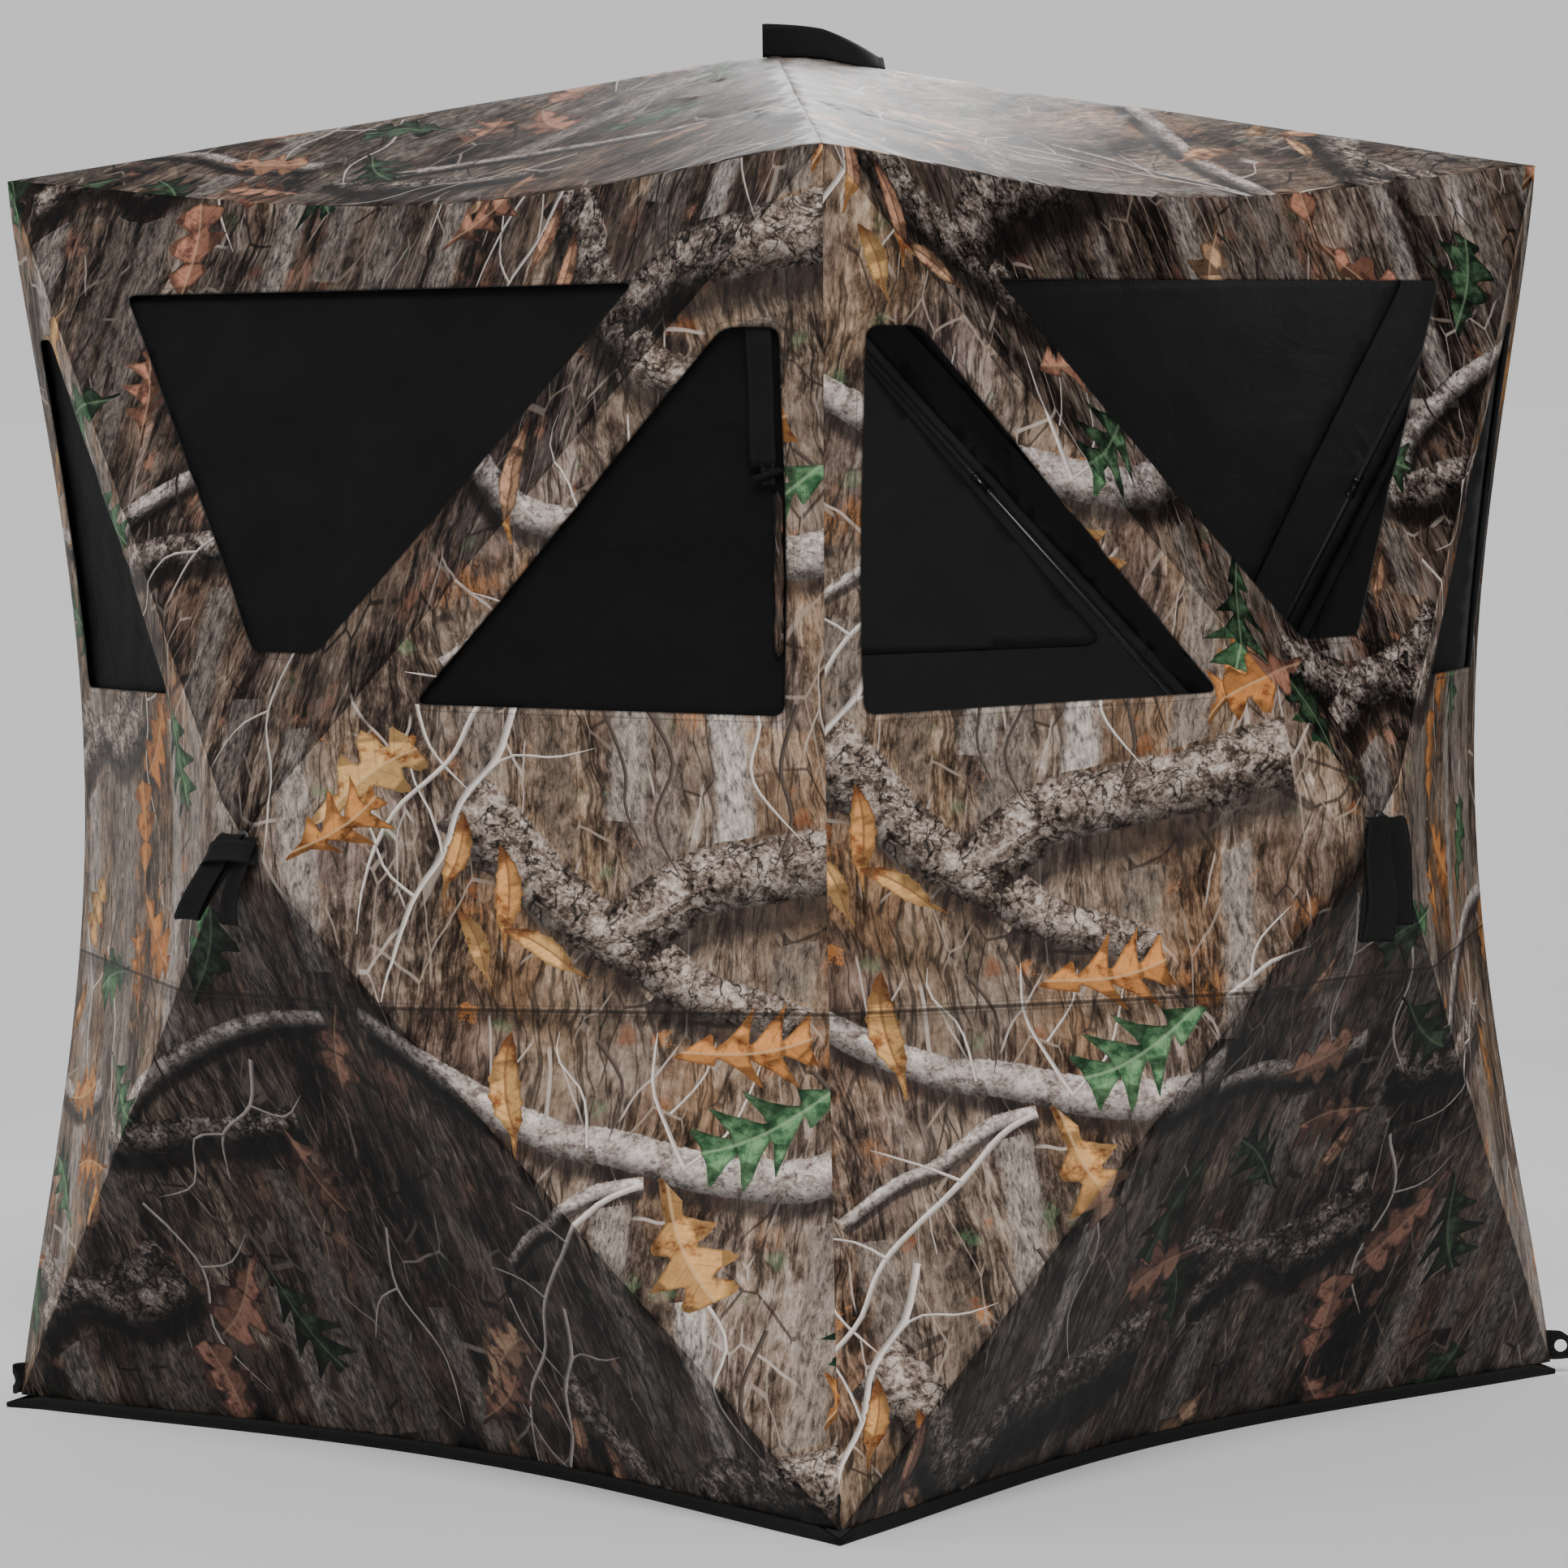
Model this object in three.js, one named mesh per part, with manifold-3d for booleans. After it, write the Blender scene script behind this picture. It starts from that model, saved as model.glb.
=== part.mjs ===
// A pop-up hub blind: four camouflage walls and a roof, each pushed outwards by a hub with four
// rods that reach to the corners. Millimetres, +Z up, origin on the ground under the roof hub.
// The front wall faces -Y, and the other walls are turned copies of it about Z.
import * as THREE from 'three';
import { mergeVertices } from 'three/addons/utils/BufferGeometryUtils.js';
import Module from 'manifold-3d';

// Shell
const CORNER_HEIGHT = 1550;      // ground to the upper corners
const HALF_BOTTOM = 694;         // axis to a wall's plane at the ground corners
const HALF_TOP = 682;            // and at the upper corners
const WALL_REACH = 930;          // axis to the flat patch round a wall hub
const WALL_HUB_HEIGHT = 772;
const ROOF_HUB_HEIGHT = 1692;
const POST_BOW = 89;             // how far a corner seam bows in, along the diagonal
const EAVE_BOW = 48;             // an eave bows in and down by this much each
const HEM_BOW = 90;              // the hem bows in
const BOW_POWER = 1.25;
const EDGE_STEPS = 10;
const SKIN = 2.2;                // coated cloth with its lining
const GAP = 0.4;
const PATCH_RADIUS = 60;         // flat reinforcement round each hub
const STUD_HOLE = 9;

// Hem binding
const HEM_TOP = 16;
const HEM_HEIGHT = 15.5;
const HEM_OVERLAP = 1.2;

// Windows, as outlines on a wall's plane: across from the hub, height from the ground
const TOP_WINDOW = [[-425, 1403], [-54, 984], [54, 984], [425, 1403]];
const SIDE_WINDOW = [[207, 930], [586, 917], [620, 1351], [564, 1351]];
const WINDOW_ROUND = 14;
const COVER_LAP = 22;            // how far a cover runs past its window
const COVER_GAP = 2.6;
const COVER_THICKNESS = 2.0;

// Hub, measured from its axis and inwards from the patch's outer face
const HUB_RADIUS = 52;
const HUB_START = 3.2;
const HUB_DEPTH = 50;
const HUB_SIDES = 16;
const STUD_RADIUS = 7;
const STUD_DEPTH = 15;
const CAP_RADIUS = 30;
const CAP_UNDERSIDE = -3.5;
const CAP_TOP = -10;
const SLOT_WIDTH = 13.8;
const SLOT_START = 24;
const SLOT_ROOF = 11;            // closed wall left over the slots
const PIVOT_RADIUS = 38;
const PIVOT_DEPTH = 36;
const PIVOT_HOLE = 3.4;
const TRUNNION_RADIUS = 3;
const TRUNNION_LENGTH = 24;

// Rods
const ROD_RADIUS = 5;
const ROD_END_RADIUS = 6.5;
const ROD_COLLAR_RADIUS = 7.5;
const ROD_SIDES = 8;
const ROD_REACH = 0.909;         // where a rod ends, as a share of the way from hub to corner
const ROD_TIP_DEPTH = 37;        // below the ridge that it holds up

// Corner pockets, along the corner's inward diagonal
const POCKET_START = 16;
const POCKET_END = 44;
const POCKET_NARROW = 3;
const POCKET_WIDE = 16;
const TAB_THICKNESS = 2.4;
const TAB_SLOT = 3.4;
const TAB_TOP = 60;
const TAB_OUTLINE = [[-34, 20], [10, 18], [27, 22], [31, 36], [28, 50], [14, 57], [-4, 58], [-34, 50]];
const TAB_HOLE = [13, 37, 8];

// Pull straps, as a side view: outwards from the patch, and down from the hub's axis
const STRAP_WIDTH = 38;
const STRAP_TOP = 22;
const STRAP_FOOT = -46;
const STRAP_INNER = -0.6;
const STRAP_OUTER = -3.0;

const wasm = await Module();
wasm.setup();

const V = (x, y, z) => new THREE.Vector3(x, y, z);
const material = (color, roughness, metalness = 0) =>
  new THREE.MeshStandardMaterial({ color, roughness, metalness });

function toManifold(geometry) {
  const bare = geometry.index ? geometry.clone() : geometry;
  bare.deleteAttribute('normal');
  bare.deleteAttribute('uv');
  const merged = mergeVertices(bare, 1e-4);
  return new wasm.Manifold(new wasm.Mesh({
    numProp: 3,
    vertProperties: new Float32Array(merged.attributes.position.array),
    triVerts: new Uint32Array(merged.index.array),
  }));
}

function toGeometry(manifold) {
  const mesh = manifold.getMesh();
  const geometry = new THREE.BufferGeometry();
  const points = new Float32Array(mesh.numVert * 3);
  for (let i = 0; i < mesh.numVert; i++) {
    for (let k = 0; k < 3; k++) points[3 * i + k] = mesh.vertProperties[i * mesh.numProp + k];
  }
  geometry.setAttribute('position', new THREE.BufferAttribute(points, 3));
  geometry.setIndex(Array.from(mesh.triVerts));
  return geometry;
}

const cut = (geometry, tools) =>
  toGeometry(tools.reduce((body, tool) => body.subtract(toManifold(tool)), toManifold(geometry)));
const join = (first, second) => toGeometry(toManifold(first).add(toManifold(second)));

// A closed surface from a grid of points that wraps round both ways. Its two halves are split into
// triangles alike, so a thin shell's faces stay parallel.
function loftClosed(rows) {
  const wide = rows[0].length;
  const position = rows.flat().flatMap((p) => [p.x, p.y, p.z]);
  const index = [];
  rows.forEach((row, i) => {
    const next = (i + 1) % rows.length;
    for (let j = 0; j < wide; j++) {
      const k = (j + 1) % wide;
      const [a, b, c, d] = [i * wide + j, next * wide + j, next * wide + k, i * wide + k];
      index.push(...(j < wide / 2 ? [a, b, c, a, c, d] : [b, c, d, b, d, a]));
    }
  });
  const geometry = new THREE.BufferGeometry();
  geometry.setAttribute('position', new THREE.Float32BufferAttribute(position, 3));
  geometry.setIndex(index);
  if (signedVolume(position, index) < 0) {
    geometry.setIndex(index.map((_, i) => index[i - (i % 3) + (2 - (i % 3))]));
  }
  return geometry;
}

function signedVolume(position, index) {
  let sum = 0;
  const at = (i) => V(...position.slice(3 * i, 3 * i + 3));
  for (let i = 0; i < index.length; i += 3) {
    sum += at(index[i]).dot(at(index[i + 1]).cross(at(index[i + 2])));
  }
  return sum;
}

// The shell's edges
const bow = (t) => Math.sin(Math.PI * t) ** BOW_POWER;
const postHalf = (z) => HALF_BOTTOM + ((HALF_TOP - HALF_BOTTOM) * z) / CORNER_HEIGHT
  - (POST_BOW / Math.SQRT2) * bow(z / CORNER_HEIGHT);
const FOOT = postHalf(HEM_TOP);

function eave(t) {
  const sag = EAVE_BOW * bow(t);
  return { x: 2 * t - 1, y: -(HALF_TOP - sag), z: CORNER_HEIGHT - sag };
}

// The front wall's rim, once round, seen from outside: hem, right post, eave, left post
function wallRim() {
  const rim = [];
  const steps = [...Array(EDGE_STEPS).keys()].map((i) => i / EDGE_STEPS);
  const post = (t, side) => {
    const z = HEM_TOP + (CORNER_HEIGHT - HEM_TOP) * t;
    const w = postHalf(z);
    return {
      outer: V(side * (w - GAP), -w, z - GAP * t),
      inner: V(side * (w - SKIN - GAP), -(w - SKIN), z - (SKIN + GAP) * t),
    };
  };
  for (const t of steps) {
    const y = -(FOOT - HEM_BOW * bow(t));
    const x = 2 * t - 1;
    rim.push({ outer: V(x * (FOOT - GAP), y, HEM_TOP), inner: V(x * (FOOT - SKIN - GAP), y + SKIN, HEM_TOP) });
  }
  for (const t of steps) rim.push(post(t, 1));
  for (const t of steps) {
    const e = eave(1 - t);
    rim.push({
      outer: V(e.x * (HALF_TOP - GAP), e.y, e.z - GAP),
      inner: V(e.x * (HALF_TOP - SKIN - GAP), e.y + SKIN, e.z - SKIN - GAP),
    });
  }
  for (const t of steps) rim.push(post(1 - t, -1));
  return rim;
}

function roofRim() {
  const rim = [];
  for (let side = 0; side < 4; side++) {
    for (let i = 0; i < EDGE_STEPS; i++) {
      const e = eave(i / EDGE_STEPS);
      const outer = V(e.x * (HALF_TOP - GAP), e.y + GAP, e.z);
      const inner = V(e.x * (HALF_TOP - SKIN - GAP), e.y + SKIN + GAP, e.z - SKIN);
      const turn = new THREE.Matrix4().makeRotationZ((side * Math.PI) / 2);
      rim.push({ outer: outer.applyMatrix4(turn), inner: inner.applyMatrix4(turn) });
    }
  }
  return rim;
}

// A skin: a flat patch with the stud's hole, then straight rulings out to the bowed rim
function skin(rim, centre, normal) {
  const across = (point, radius, depth) => {
    const way = point.clone().sub(centre).projectOnPlane(normal).normalize();
    return centre.clone().addScaledVector(way, radius).addScaledVector(normal, -depth);
  };
  return loftClosed(rim.map(({ outer, inner }) => [
    across(outer, STUD_HOLE, 0), across(outer, PATCH_RADIUS, 0), outer,
    inner, across(inner, PATCH_RADIUS, SKIN), across(inner, STUD_HOLE, SKIN),
  ]));
}

// A window's outline with rounded corners, grown outwards by a lap, as a prism through the wall
function windowPrism(outline, lap) {
  const shape = new THREE.Shape();
  const points = outline.map(([x, z]) => new THREE.Vector2(x, z));
  const grown = points.map((p, i) => {
    const before = points[(i + points.length - 1) % points.length];
    const after = points[(i + 1) % points.length];
    const a = p.clone().sub(before).normalize();
    const b = after.clone().sub(p).normalize();
    const normalA = new THREE.Vector2(a.y, -a.x);
    const normalB = new THREE.Vector2(b.y, -b.x);
    const push = normalA.clone().add(normalB).normalize();
    return p.clone().addScaledVector(push, Math.min(lap / push.dot(normalA), 1.8 * lap));
  });
  grown.forEach((p, i) => {
    const before = grown[(i + grown.length - 1) % grown.length];
    const after = grown[(i + 1) % grown.length];
    const start = p.clone().add(before.clone().sub(p).setLength(WINDOW_ROUND));
    const end = p.clone().add(after.clone().sub(p).setLength(WINDOW_ROUND));
    if (i === 0) shape.moveTo(start.x, start.y);
    else shape.lineTo(start.x, start.y);
    shape.quadraticCurveTo(p.x, p.y, end.x, end.y);
  });
  shape.closePath();
  const depth = WALL_REACH;
  const prism = new THREE.ExtrudeGeometry(shape, { depth, bevelEnabled: false, curveSegments: 2 });
  return prism.rotateX(Math.PI / 2).translate(0, -WALL_REACH / 4, 0);
}

const mirrored = (outline) => outline.map(([x, z]) => [-x, z]).reverse();
const WINDOWS = { top: TOP_WINDOW, right: SIDE_WINDOW, left: mirrored(SIDE_WINDOW) };

const WALL_CENTRE = V(0, -WALL_REACH, WALL_HUB_HEIGHT);
const OUT_OF_WALL = V(0, -1, 0);

// The stake tab's webbing passes out between two walls, through a slot at the foot of their seam
function tabSlot(side) {
  const height = TAB_TOP - HEM_TOP + 12;
  return new THREE.BoxGeometry(240, TAB_SLOT, height)
    .rotateZ((-side * Math.PI) / 4)
    .translate(side * FOOT, -FOOT, HEM_TOP - 12 + height / 2);
}

function wallSkin() {
  const tools = [...Object.values(WINDOWS).map((outline) => windowPrism(outline, 0)), tabSlot(1), tabSlot(-1)];
  return cut(skin(wallRim(), WALL_CENTRE, OUT_OF_WALL), tools);
}

// A cover hangs inside the wall and follows its surface, a little larger than its window
function windowCover(outline) {
  const surface = skin(wallRim(), WALL_CENTRE, OUT_OF_WALL);
  const near = toManifold(surface.clone()).translate([0, SKIN + COVER_GAP, 0]);
  const far = near.translate([0, COVER_THICKNESS - SKIN, 0]);
  return toGeometry(near.intersect(far).intersect(toManifold(windowPrism(outline, COVER_LAP))));
}

function hemBinding() {
  const rows = [];
  for (let side = 0; side < 4; side++) {
    const turn = new THREE.Matrix4().makeRotationZ((side * Math.PI) / 2);
    for (let i = 0; i < EDGE_STEPS; i++) {
      const t = i / EDGE_STEPS;
      const place = (offset, z) =>
        V((2 * t - 1) * (FOOT + offset), -(FOOT + offset) + HEM_BOW * bow(t), z).applyMatrix4(turn);
      rows.push([
        place(HEM_OVERLAP, 0), place(HEM_OVERLAP, HEM_HEIGHT),
        place(-SKIN - HEM_OVERLAP, HEM_HEIGHT), place(-SKIN - HEM_OVERLAP, 0),
      ]);
    }
  }
  return loftClosed(rows);
}

// The hub's own frame: origin at the middle of the patch, +Y into the cabin
const across = (corner) => V(corner[0], 0, corner[1]).normalize();

function hubBody(corners) {
  const profile = [[0, 0], [44, 0], [HUB_RADIUS, 6], [HUB_RADIUS, 38], [42, HUB_DEPTH], [0, HUB_DEPTH]]
    .map(([r, y]) => new THREE.Vector2(r, y + HUB_START));
  const stud = new THREE.CylinderGeometry(STUD_RADIUS + 0.4, STUD_RADIUS + 0.4, STUD_DEPTH + 1, 12)
    .translate(0, (STUD_DEPTH + 1) / 2, 0);
  const tools = corners.flatMap((corner) => {
    const way = across(corner);
    const angle = Math.atan2(-way.z, way.x);
    const slot = new THREE.BoxGeometry(60, 80, SLOT_WIDTH)
      .translate(SLOT_START + 30, SLOT_ROOF + 40, 0).rotateY(angle);
    const hole = new THREE.CylinderGeometry(PIVOT_HOLE, PIVOT_HOLE, TRUNNION_LENGTH + 2, ROD_SIDES)
      .rotateX(Math.PI / 2).translate(PIVOT_RADIUS, PIVOT_DEPTH, 0).rotateY(angle);
    return [slot, hole];
  });
  return cut(new THREE.LatheGeometry(profile, HUB_SIDES), [stud, ...tools]);
}

function hubCap() {
  const profile = [[0, CAP_TOP], [20, CAP_TOP], [CAP_RADIUS, CAP_TOP + 3], [CAP_RADIUS, CAP_UNDERSIDE],
    [STUD_RADIUS, CAP_UNDERSIDE], [STUD_RADIUS, STUD_DEPTH], [0, STUD_DEPTH]]
    .map(([r, y]) => new THREE.Vector2(r, y));
  return new THREE.LatheGeometry(profile, HUB_SIDES);
}

function pullStrap() {
  const loop = new THREE.Shape();
  loop.moveTo(-0.8, -30);
  loop.bezierCurveTo(-0.8, -70, -0.8, -142, -22, -142);
  loop.bezierCurveTo(-52, -142, -51, -92, -3.8, -30);
  loop.closePath();
  const hand = new THREE.Path();
  hand.moveTo(-3.4, -48);
  hand.bezierCurveTo(-47, -96, -46, -139.2, -22, -139.2);
  hand.bezierCurveTo(-3.6, -139.2, -3.4, -80, -3.4, -48);
  loop.holes.push(hand);
  const flat = new THREE.Shape([
    new THREE.Vector2(STRAP_INNER, STRAP_TOP), new THREE.Vector2(STRAP_OUTER, STRAP_TOP),
    new THREE.Vector2(STRAP_OUTER, STRAP_FOOT + 4), new THREE.Vector2(STRAP_INNER, STRAP_FOOT + 4),
  ]);
  const options = { depth: STRAP_WIDTH, bevelEnabled: false, curveSegments: 5 };
  const turn = new THREE.Matrix4().makeBasis(V(0, 1, 0), V(0, 0, 1), V(1, 0, 0));
  const band = (shape) =>
    new THREE.ExtrudeGeometry(shape, options).applyMatrix4(turn).translate(-STRAP_WIDTH / 2, 0, 0);
  const hole = new THREE.CylinderGeometry(STUD_RADIUS + 1, STUD_RADIUS + 1, 12, 12);
  return cut(join(band(loop), band(flat)), [hole]);
}

// A rod in its own frame: +Y along it from the pivot, +X along the trunnion
function rod(length) {
  const middle = length / 2;
  const profile = [[0, -8.5], [5, -7.5], [ROD_END_RADIUS, -4], [ROD_END_RADIUS, 42], [ROD_RADIUS, 46],
    [ROD_RADIUS, middle - 22], [ROD_COLLAR_RADIUS, middle - 18], [ROD_COLLAR_RADIUS, middle + 18],
    [ROD_RADIUS, middle + 22], [ROD_RADIUS, length - 34], [ROD_END_RADIUS, length - 30],
    [ROD_END_RADIUS, length - 5], [0, length]]
    .map(([r, y]) => new THREE.Vector2(r, y));
  const trunnion = new THREE.CylinderGeometry(TRUNNION_RADIUS, TRUNNION_RADIUS, TRUNNION_LENGTH, ROD_SIDES)
    .rotateZ(Math.PI / 2);
  return join(new THREE.LatheGeometry(profile, ROD_SIDES), trunnion);
}

// Where a rod starts and ends in the hub's frame, for a corner given across and in depth
function rodLine(corner, cornerDepth) {
  const way = across(corner);
  const reach = Math.hypot(...corner);
  const end = ROD_REACH * reach;
  const ridge = (cornerDepth * (end - PATCH_RADIUS)) / (reach - PATCH_RADIUS);
  const start = way.clone().multiplyScalar(PIVOT_RADIUS).setY(PIVOT_DEPTH);
  const tip = way.clone().multiplyScalar(end).setY(ridge + ROD_TIP_DEPTH);
  return { start, tip };
}

function pocket(axis) {
  const profile = [[0, POCKET_START], [POCKET_NARROW, POCKET_START], [POCKET_WIDE, POCKET_END], [0, POCKET_END]]
    .map(([r, y]) => new THREE.Vector2(r, y));
  return new THREE.LatheGeometry(profile, 8)
    .applyQuaternion(new THREE.Quaternion().setFromUnitVectors(V(0, 1, 0), axis.clone().normalize()));
}

// The upper corner between the front and right walls, and the ground corner under it with its stake tab
const upperPocket = () => pocket(V(-1, 1, -1)).translate(HALF_TOP, -HALF_TOP, CORNER_HEIGHT);

function groundPocket() {
  const outline = new THREE.Shape(TAB_OUTLINE.map(([d, z]) => new THREE.Vector2(d, z)));
  const hole = new THREE.Path();
  hole.absarc(TAB_HOLE[0], TAB_HOLE[1], TAB_HOLE[2], 0, 2 * Math.PI, true);
  outline.holes.push(hole);
  const tab = new THREE.ExtrudeGeometry(outline, { depth: TAB_THICKNESS, bevelEnabled: false, curveSegments: 5 })
    .translate(0, 0, -TAB_THICKNESS / 2).rotateX(Math.PI / 2).rotateZ(-Math.PI / 4);
  return join(pocket(V(-1, 1, 1)).translate(0, 0, HEM_TOP), tab).translate(FOOT, -FOOT, 0);
}

const LOOKS = {
  cloth: () => material(0x73624f, 0.85),
  cover: () => material(0x0e0e0e, 0.7),
  webbing: () => material(0x111111, 0.8),
  hub: () => material(0x151515, 0.45),
  rod: () => material(0x1b1b1c, 0.35),
};

function named(name, geometry, look) {
  const mesh = new THREE.Mesh(geometry, LOOKS[look]());
  mesh.name = name;
  return mesh;
}

// Adds a hub with its cap, strap and rods to a group whose frame is the hub's own
function addHub(group, side, rods, strapTurn) {
  group.add(named(`hub_${side}`, hubBody(rods.map((r) => r.corner)), 'hub'));
  group.add(named(`hub_cap_${side}`, hubCap(), 'hub'));
  group.add(named(`pull_strap_${side}`, pullStrap().rotateY(strapTurn), 'webbing'));
  for (const { corner, depth, name } of rods) {
    const { start, tip } = rodLine(corner, depth);
    const along = tip.clone().sub(start);
    const length = along.length();
    along.normalize();
    const pin = V(0, 1, 0).cross(along).normalize();
    const mesh = named(`rod_${side}_${name}`, rod(length), 'rod');
    mesh.quaternion.setFromRotationMatrix(new THREE.Matrix4().makeBasis(pin, along, pin.clone().cross(along)));
    mesh.position.copy(start);
    group.add(mesh);
  }
}

const blind = new THREE.Group();
const SIDES = ['front', 'right', 'back', 'left'];
const OPEN_WALL = 'right';

SIDES.forEach((side, k) => {
  const wall = new THREE.Group();
  wall.rotation.z = (k * Math.PI) / 2;
  wall.add(named(`wall_${side}`, wallSkin(), 'cloth'));
  if (side !== OPEN_WALL) {
    for (const [name, outline] of Object.entries(WINDOWS)) {
      wall.add(named(`window_cover_${side}_${name}`, windowCover(outline), 'cover'));
    }
  }
  const next = SIDES[(k + 1) % 4];
  wall.add(named(`corner_pocket_${side}_${next}`, upperPocket(), 'webbing'));
  wall.add(named(`ground_pocket_${side}_${next}`, groundPocket(), 'webbing'));

  const hub = new THREE.Group();
  hub.position.copy(WALL_CENTRE);
  const upper = CORNER_HEIGHT - WALL_HUB_HEIGHT;
  const rods = [];
  for (const [sign, name] of [[-1, 'left'], [1, 'right']]) {
    rods.push({ corner: [sign * HALF_TOP, upper], depth: WALL_REACH - HALF_TOP, name: `upper_${name}` });
    rods.push({ corner: [sign * HALF_BOTTOM, -WALL_HUB_HEIGHT], depth: WALL_REACH - HALF_BOTTOM, name: `lower_${name}` });
  }
  addHub(hub, side, rods, 0);
  wall.add(hub);
  blind.add(wall);
});

blind.add(named('roof', skin(roofRim(), V(0, 0, ROOF_HUB_HEIGHT), V(0, 0, 1)), 'cloth'));
blind.add(named('hem_binding', hemBinding(), 'webbing'));

const roofHub = new THREE.Group();
roofHub.position.set(0, 0, ROOF_HUB_HEIGHT);
roofHub.rotation.x = -Math.PI / 2;
const roofRods = [];
for (const [sx, xName] of [[-1, 'left'], [1, 'right']]) {
  for (const [sy, yName] of [[-1, 'front'], [1, 'back']]) {
    roofRods.push({
      corner: [sx * HALF_TOP, sy * HALF_TOP],
      depth: ROOF_HUB_HEIGHT - CORNER_HEIGHT,
      name: `${yName}_${xName}`,
    });
  }
}
addHub(roofHub, 'roof', roofRods, (5 * Math.PI) / 4);
blind.add(roofHub);

export default blind;
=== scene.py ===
"""Looks of the pop-up hub blind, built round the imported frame. Metres, +Z up."""

import math
from types import SimpleNamespace

import bpy
import numpy as np
from mathutils import Matrix, Vector
from mathutils.geometry import delaunay_2d_cdt


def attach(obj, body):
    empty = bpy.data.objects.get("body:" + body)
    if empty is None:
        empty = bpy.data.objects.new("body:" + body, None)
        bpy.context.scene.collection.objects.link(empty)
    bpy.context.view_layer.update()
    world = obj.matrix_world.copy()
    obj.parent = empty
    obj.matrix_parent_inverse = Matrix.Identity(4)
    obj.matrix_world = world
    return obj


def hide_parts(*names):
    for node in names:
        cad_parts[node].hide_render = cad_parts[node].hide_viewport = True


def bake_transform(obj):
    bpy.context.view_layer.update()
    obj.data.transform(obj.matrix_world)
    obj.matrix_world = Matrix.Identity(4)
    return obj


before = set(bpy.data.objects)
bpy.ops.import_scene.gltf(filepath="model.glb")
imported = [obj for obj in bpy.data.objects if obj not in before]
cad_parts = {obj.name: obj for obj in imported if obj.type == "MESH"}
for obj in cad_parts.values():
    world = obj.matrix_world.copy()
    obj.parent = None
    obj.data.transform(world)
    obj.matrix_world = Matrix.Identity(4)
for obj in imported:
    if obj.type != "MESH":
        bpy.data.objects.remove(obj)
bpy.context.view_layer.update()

# ---------------------------------------------------------------- the shell's sizes, as in the CAD
CORNER_HEIGHT, HALF_BOTTOM, HALF_TOP = 1.550, 0.694, 0.682
WALL_REACH, WALL_HUB_HEIGHT, ROOF_HUB_HEIGHT = 0.930, 0.772, 1.692
POST_BOW, EAVE_BOW, HEM_BOW, BOW_POWER = 0.089, 0.048, 0.090, 1.25
PATCH_RADIUS, STUD_HOLE, HEM_TOP = 0.060, 0.009, 0.016
TOP_WINDOW = [(-0.425, 1.403), (-0.054, 0.984), (0.054, 0.984), (0.425, 1.403)]
SIDE_WINDOW = [(0.207, 0.930), (0.586, 0.917), (0.620, 1.351), (0.564, 1.351)]
WINDOWS = {"top": TOP_WINDOW, "right": SIDE_WINDOW, "left": [(-u, v) for u, v in reversed(SIDE_WINDOW)]}
SEAM_HEIGHT = 0.583
SIDES = ["front", "right", "back", "left"]
OPEN_WALL = "right"
QUARTER_TURNS = [(1, 0), (0, 1), (-1, 0), (0, -1)]  # cosine and sine of each side's turn from the front
PIVOT_RADIUS, PIVOT_DEPTH, ROD_REACH, ROD_TIP_DEPTH = 0.038, 0.036, 0.909, 0.037
CLIP_SHARE = 0.48  # how far out along its rod each clip holds the cloth
# Depths of the cloth's folds: rays from the hub, slack between, and pinches round the clips
RAY_DEPTH, SLACK_DEPTH, PINCH_DEPTH, PINCH_REACH = 0.0016, 0.0022, 0.0052, 0.13
CLOTH_THICKNESS, COVER_THICKNESS = 0.0012, 0.0009
EDGE_STEPS = 40  # along each edge of a face
POINT = 0.0001  # radius that closes the end of a turned shape


def bow(t):
    return math.sin(math.pi * min(max(t, 0.0), 1.0)) ** BOW_POWER


def post_half(z):
    t = z / CORNER_HEIGHT
    return HALF_BOTTOM + (HALF_TOP - HALF_BOTTOM) * t - POST_BOW / math.sqrt(2) * bow(t)


FOOT = post_half(HEM_TOP)


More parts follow.
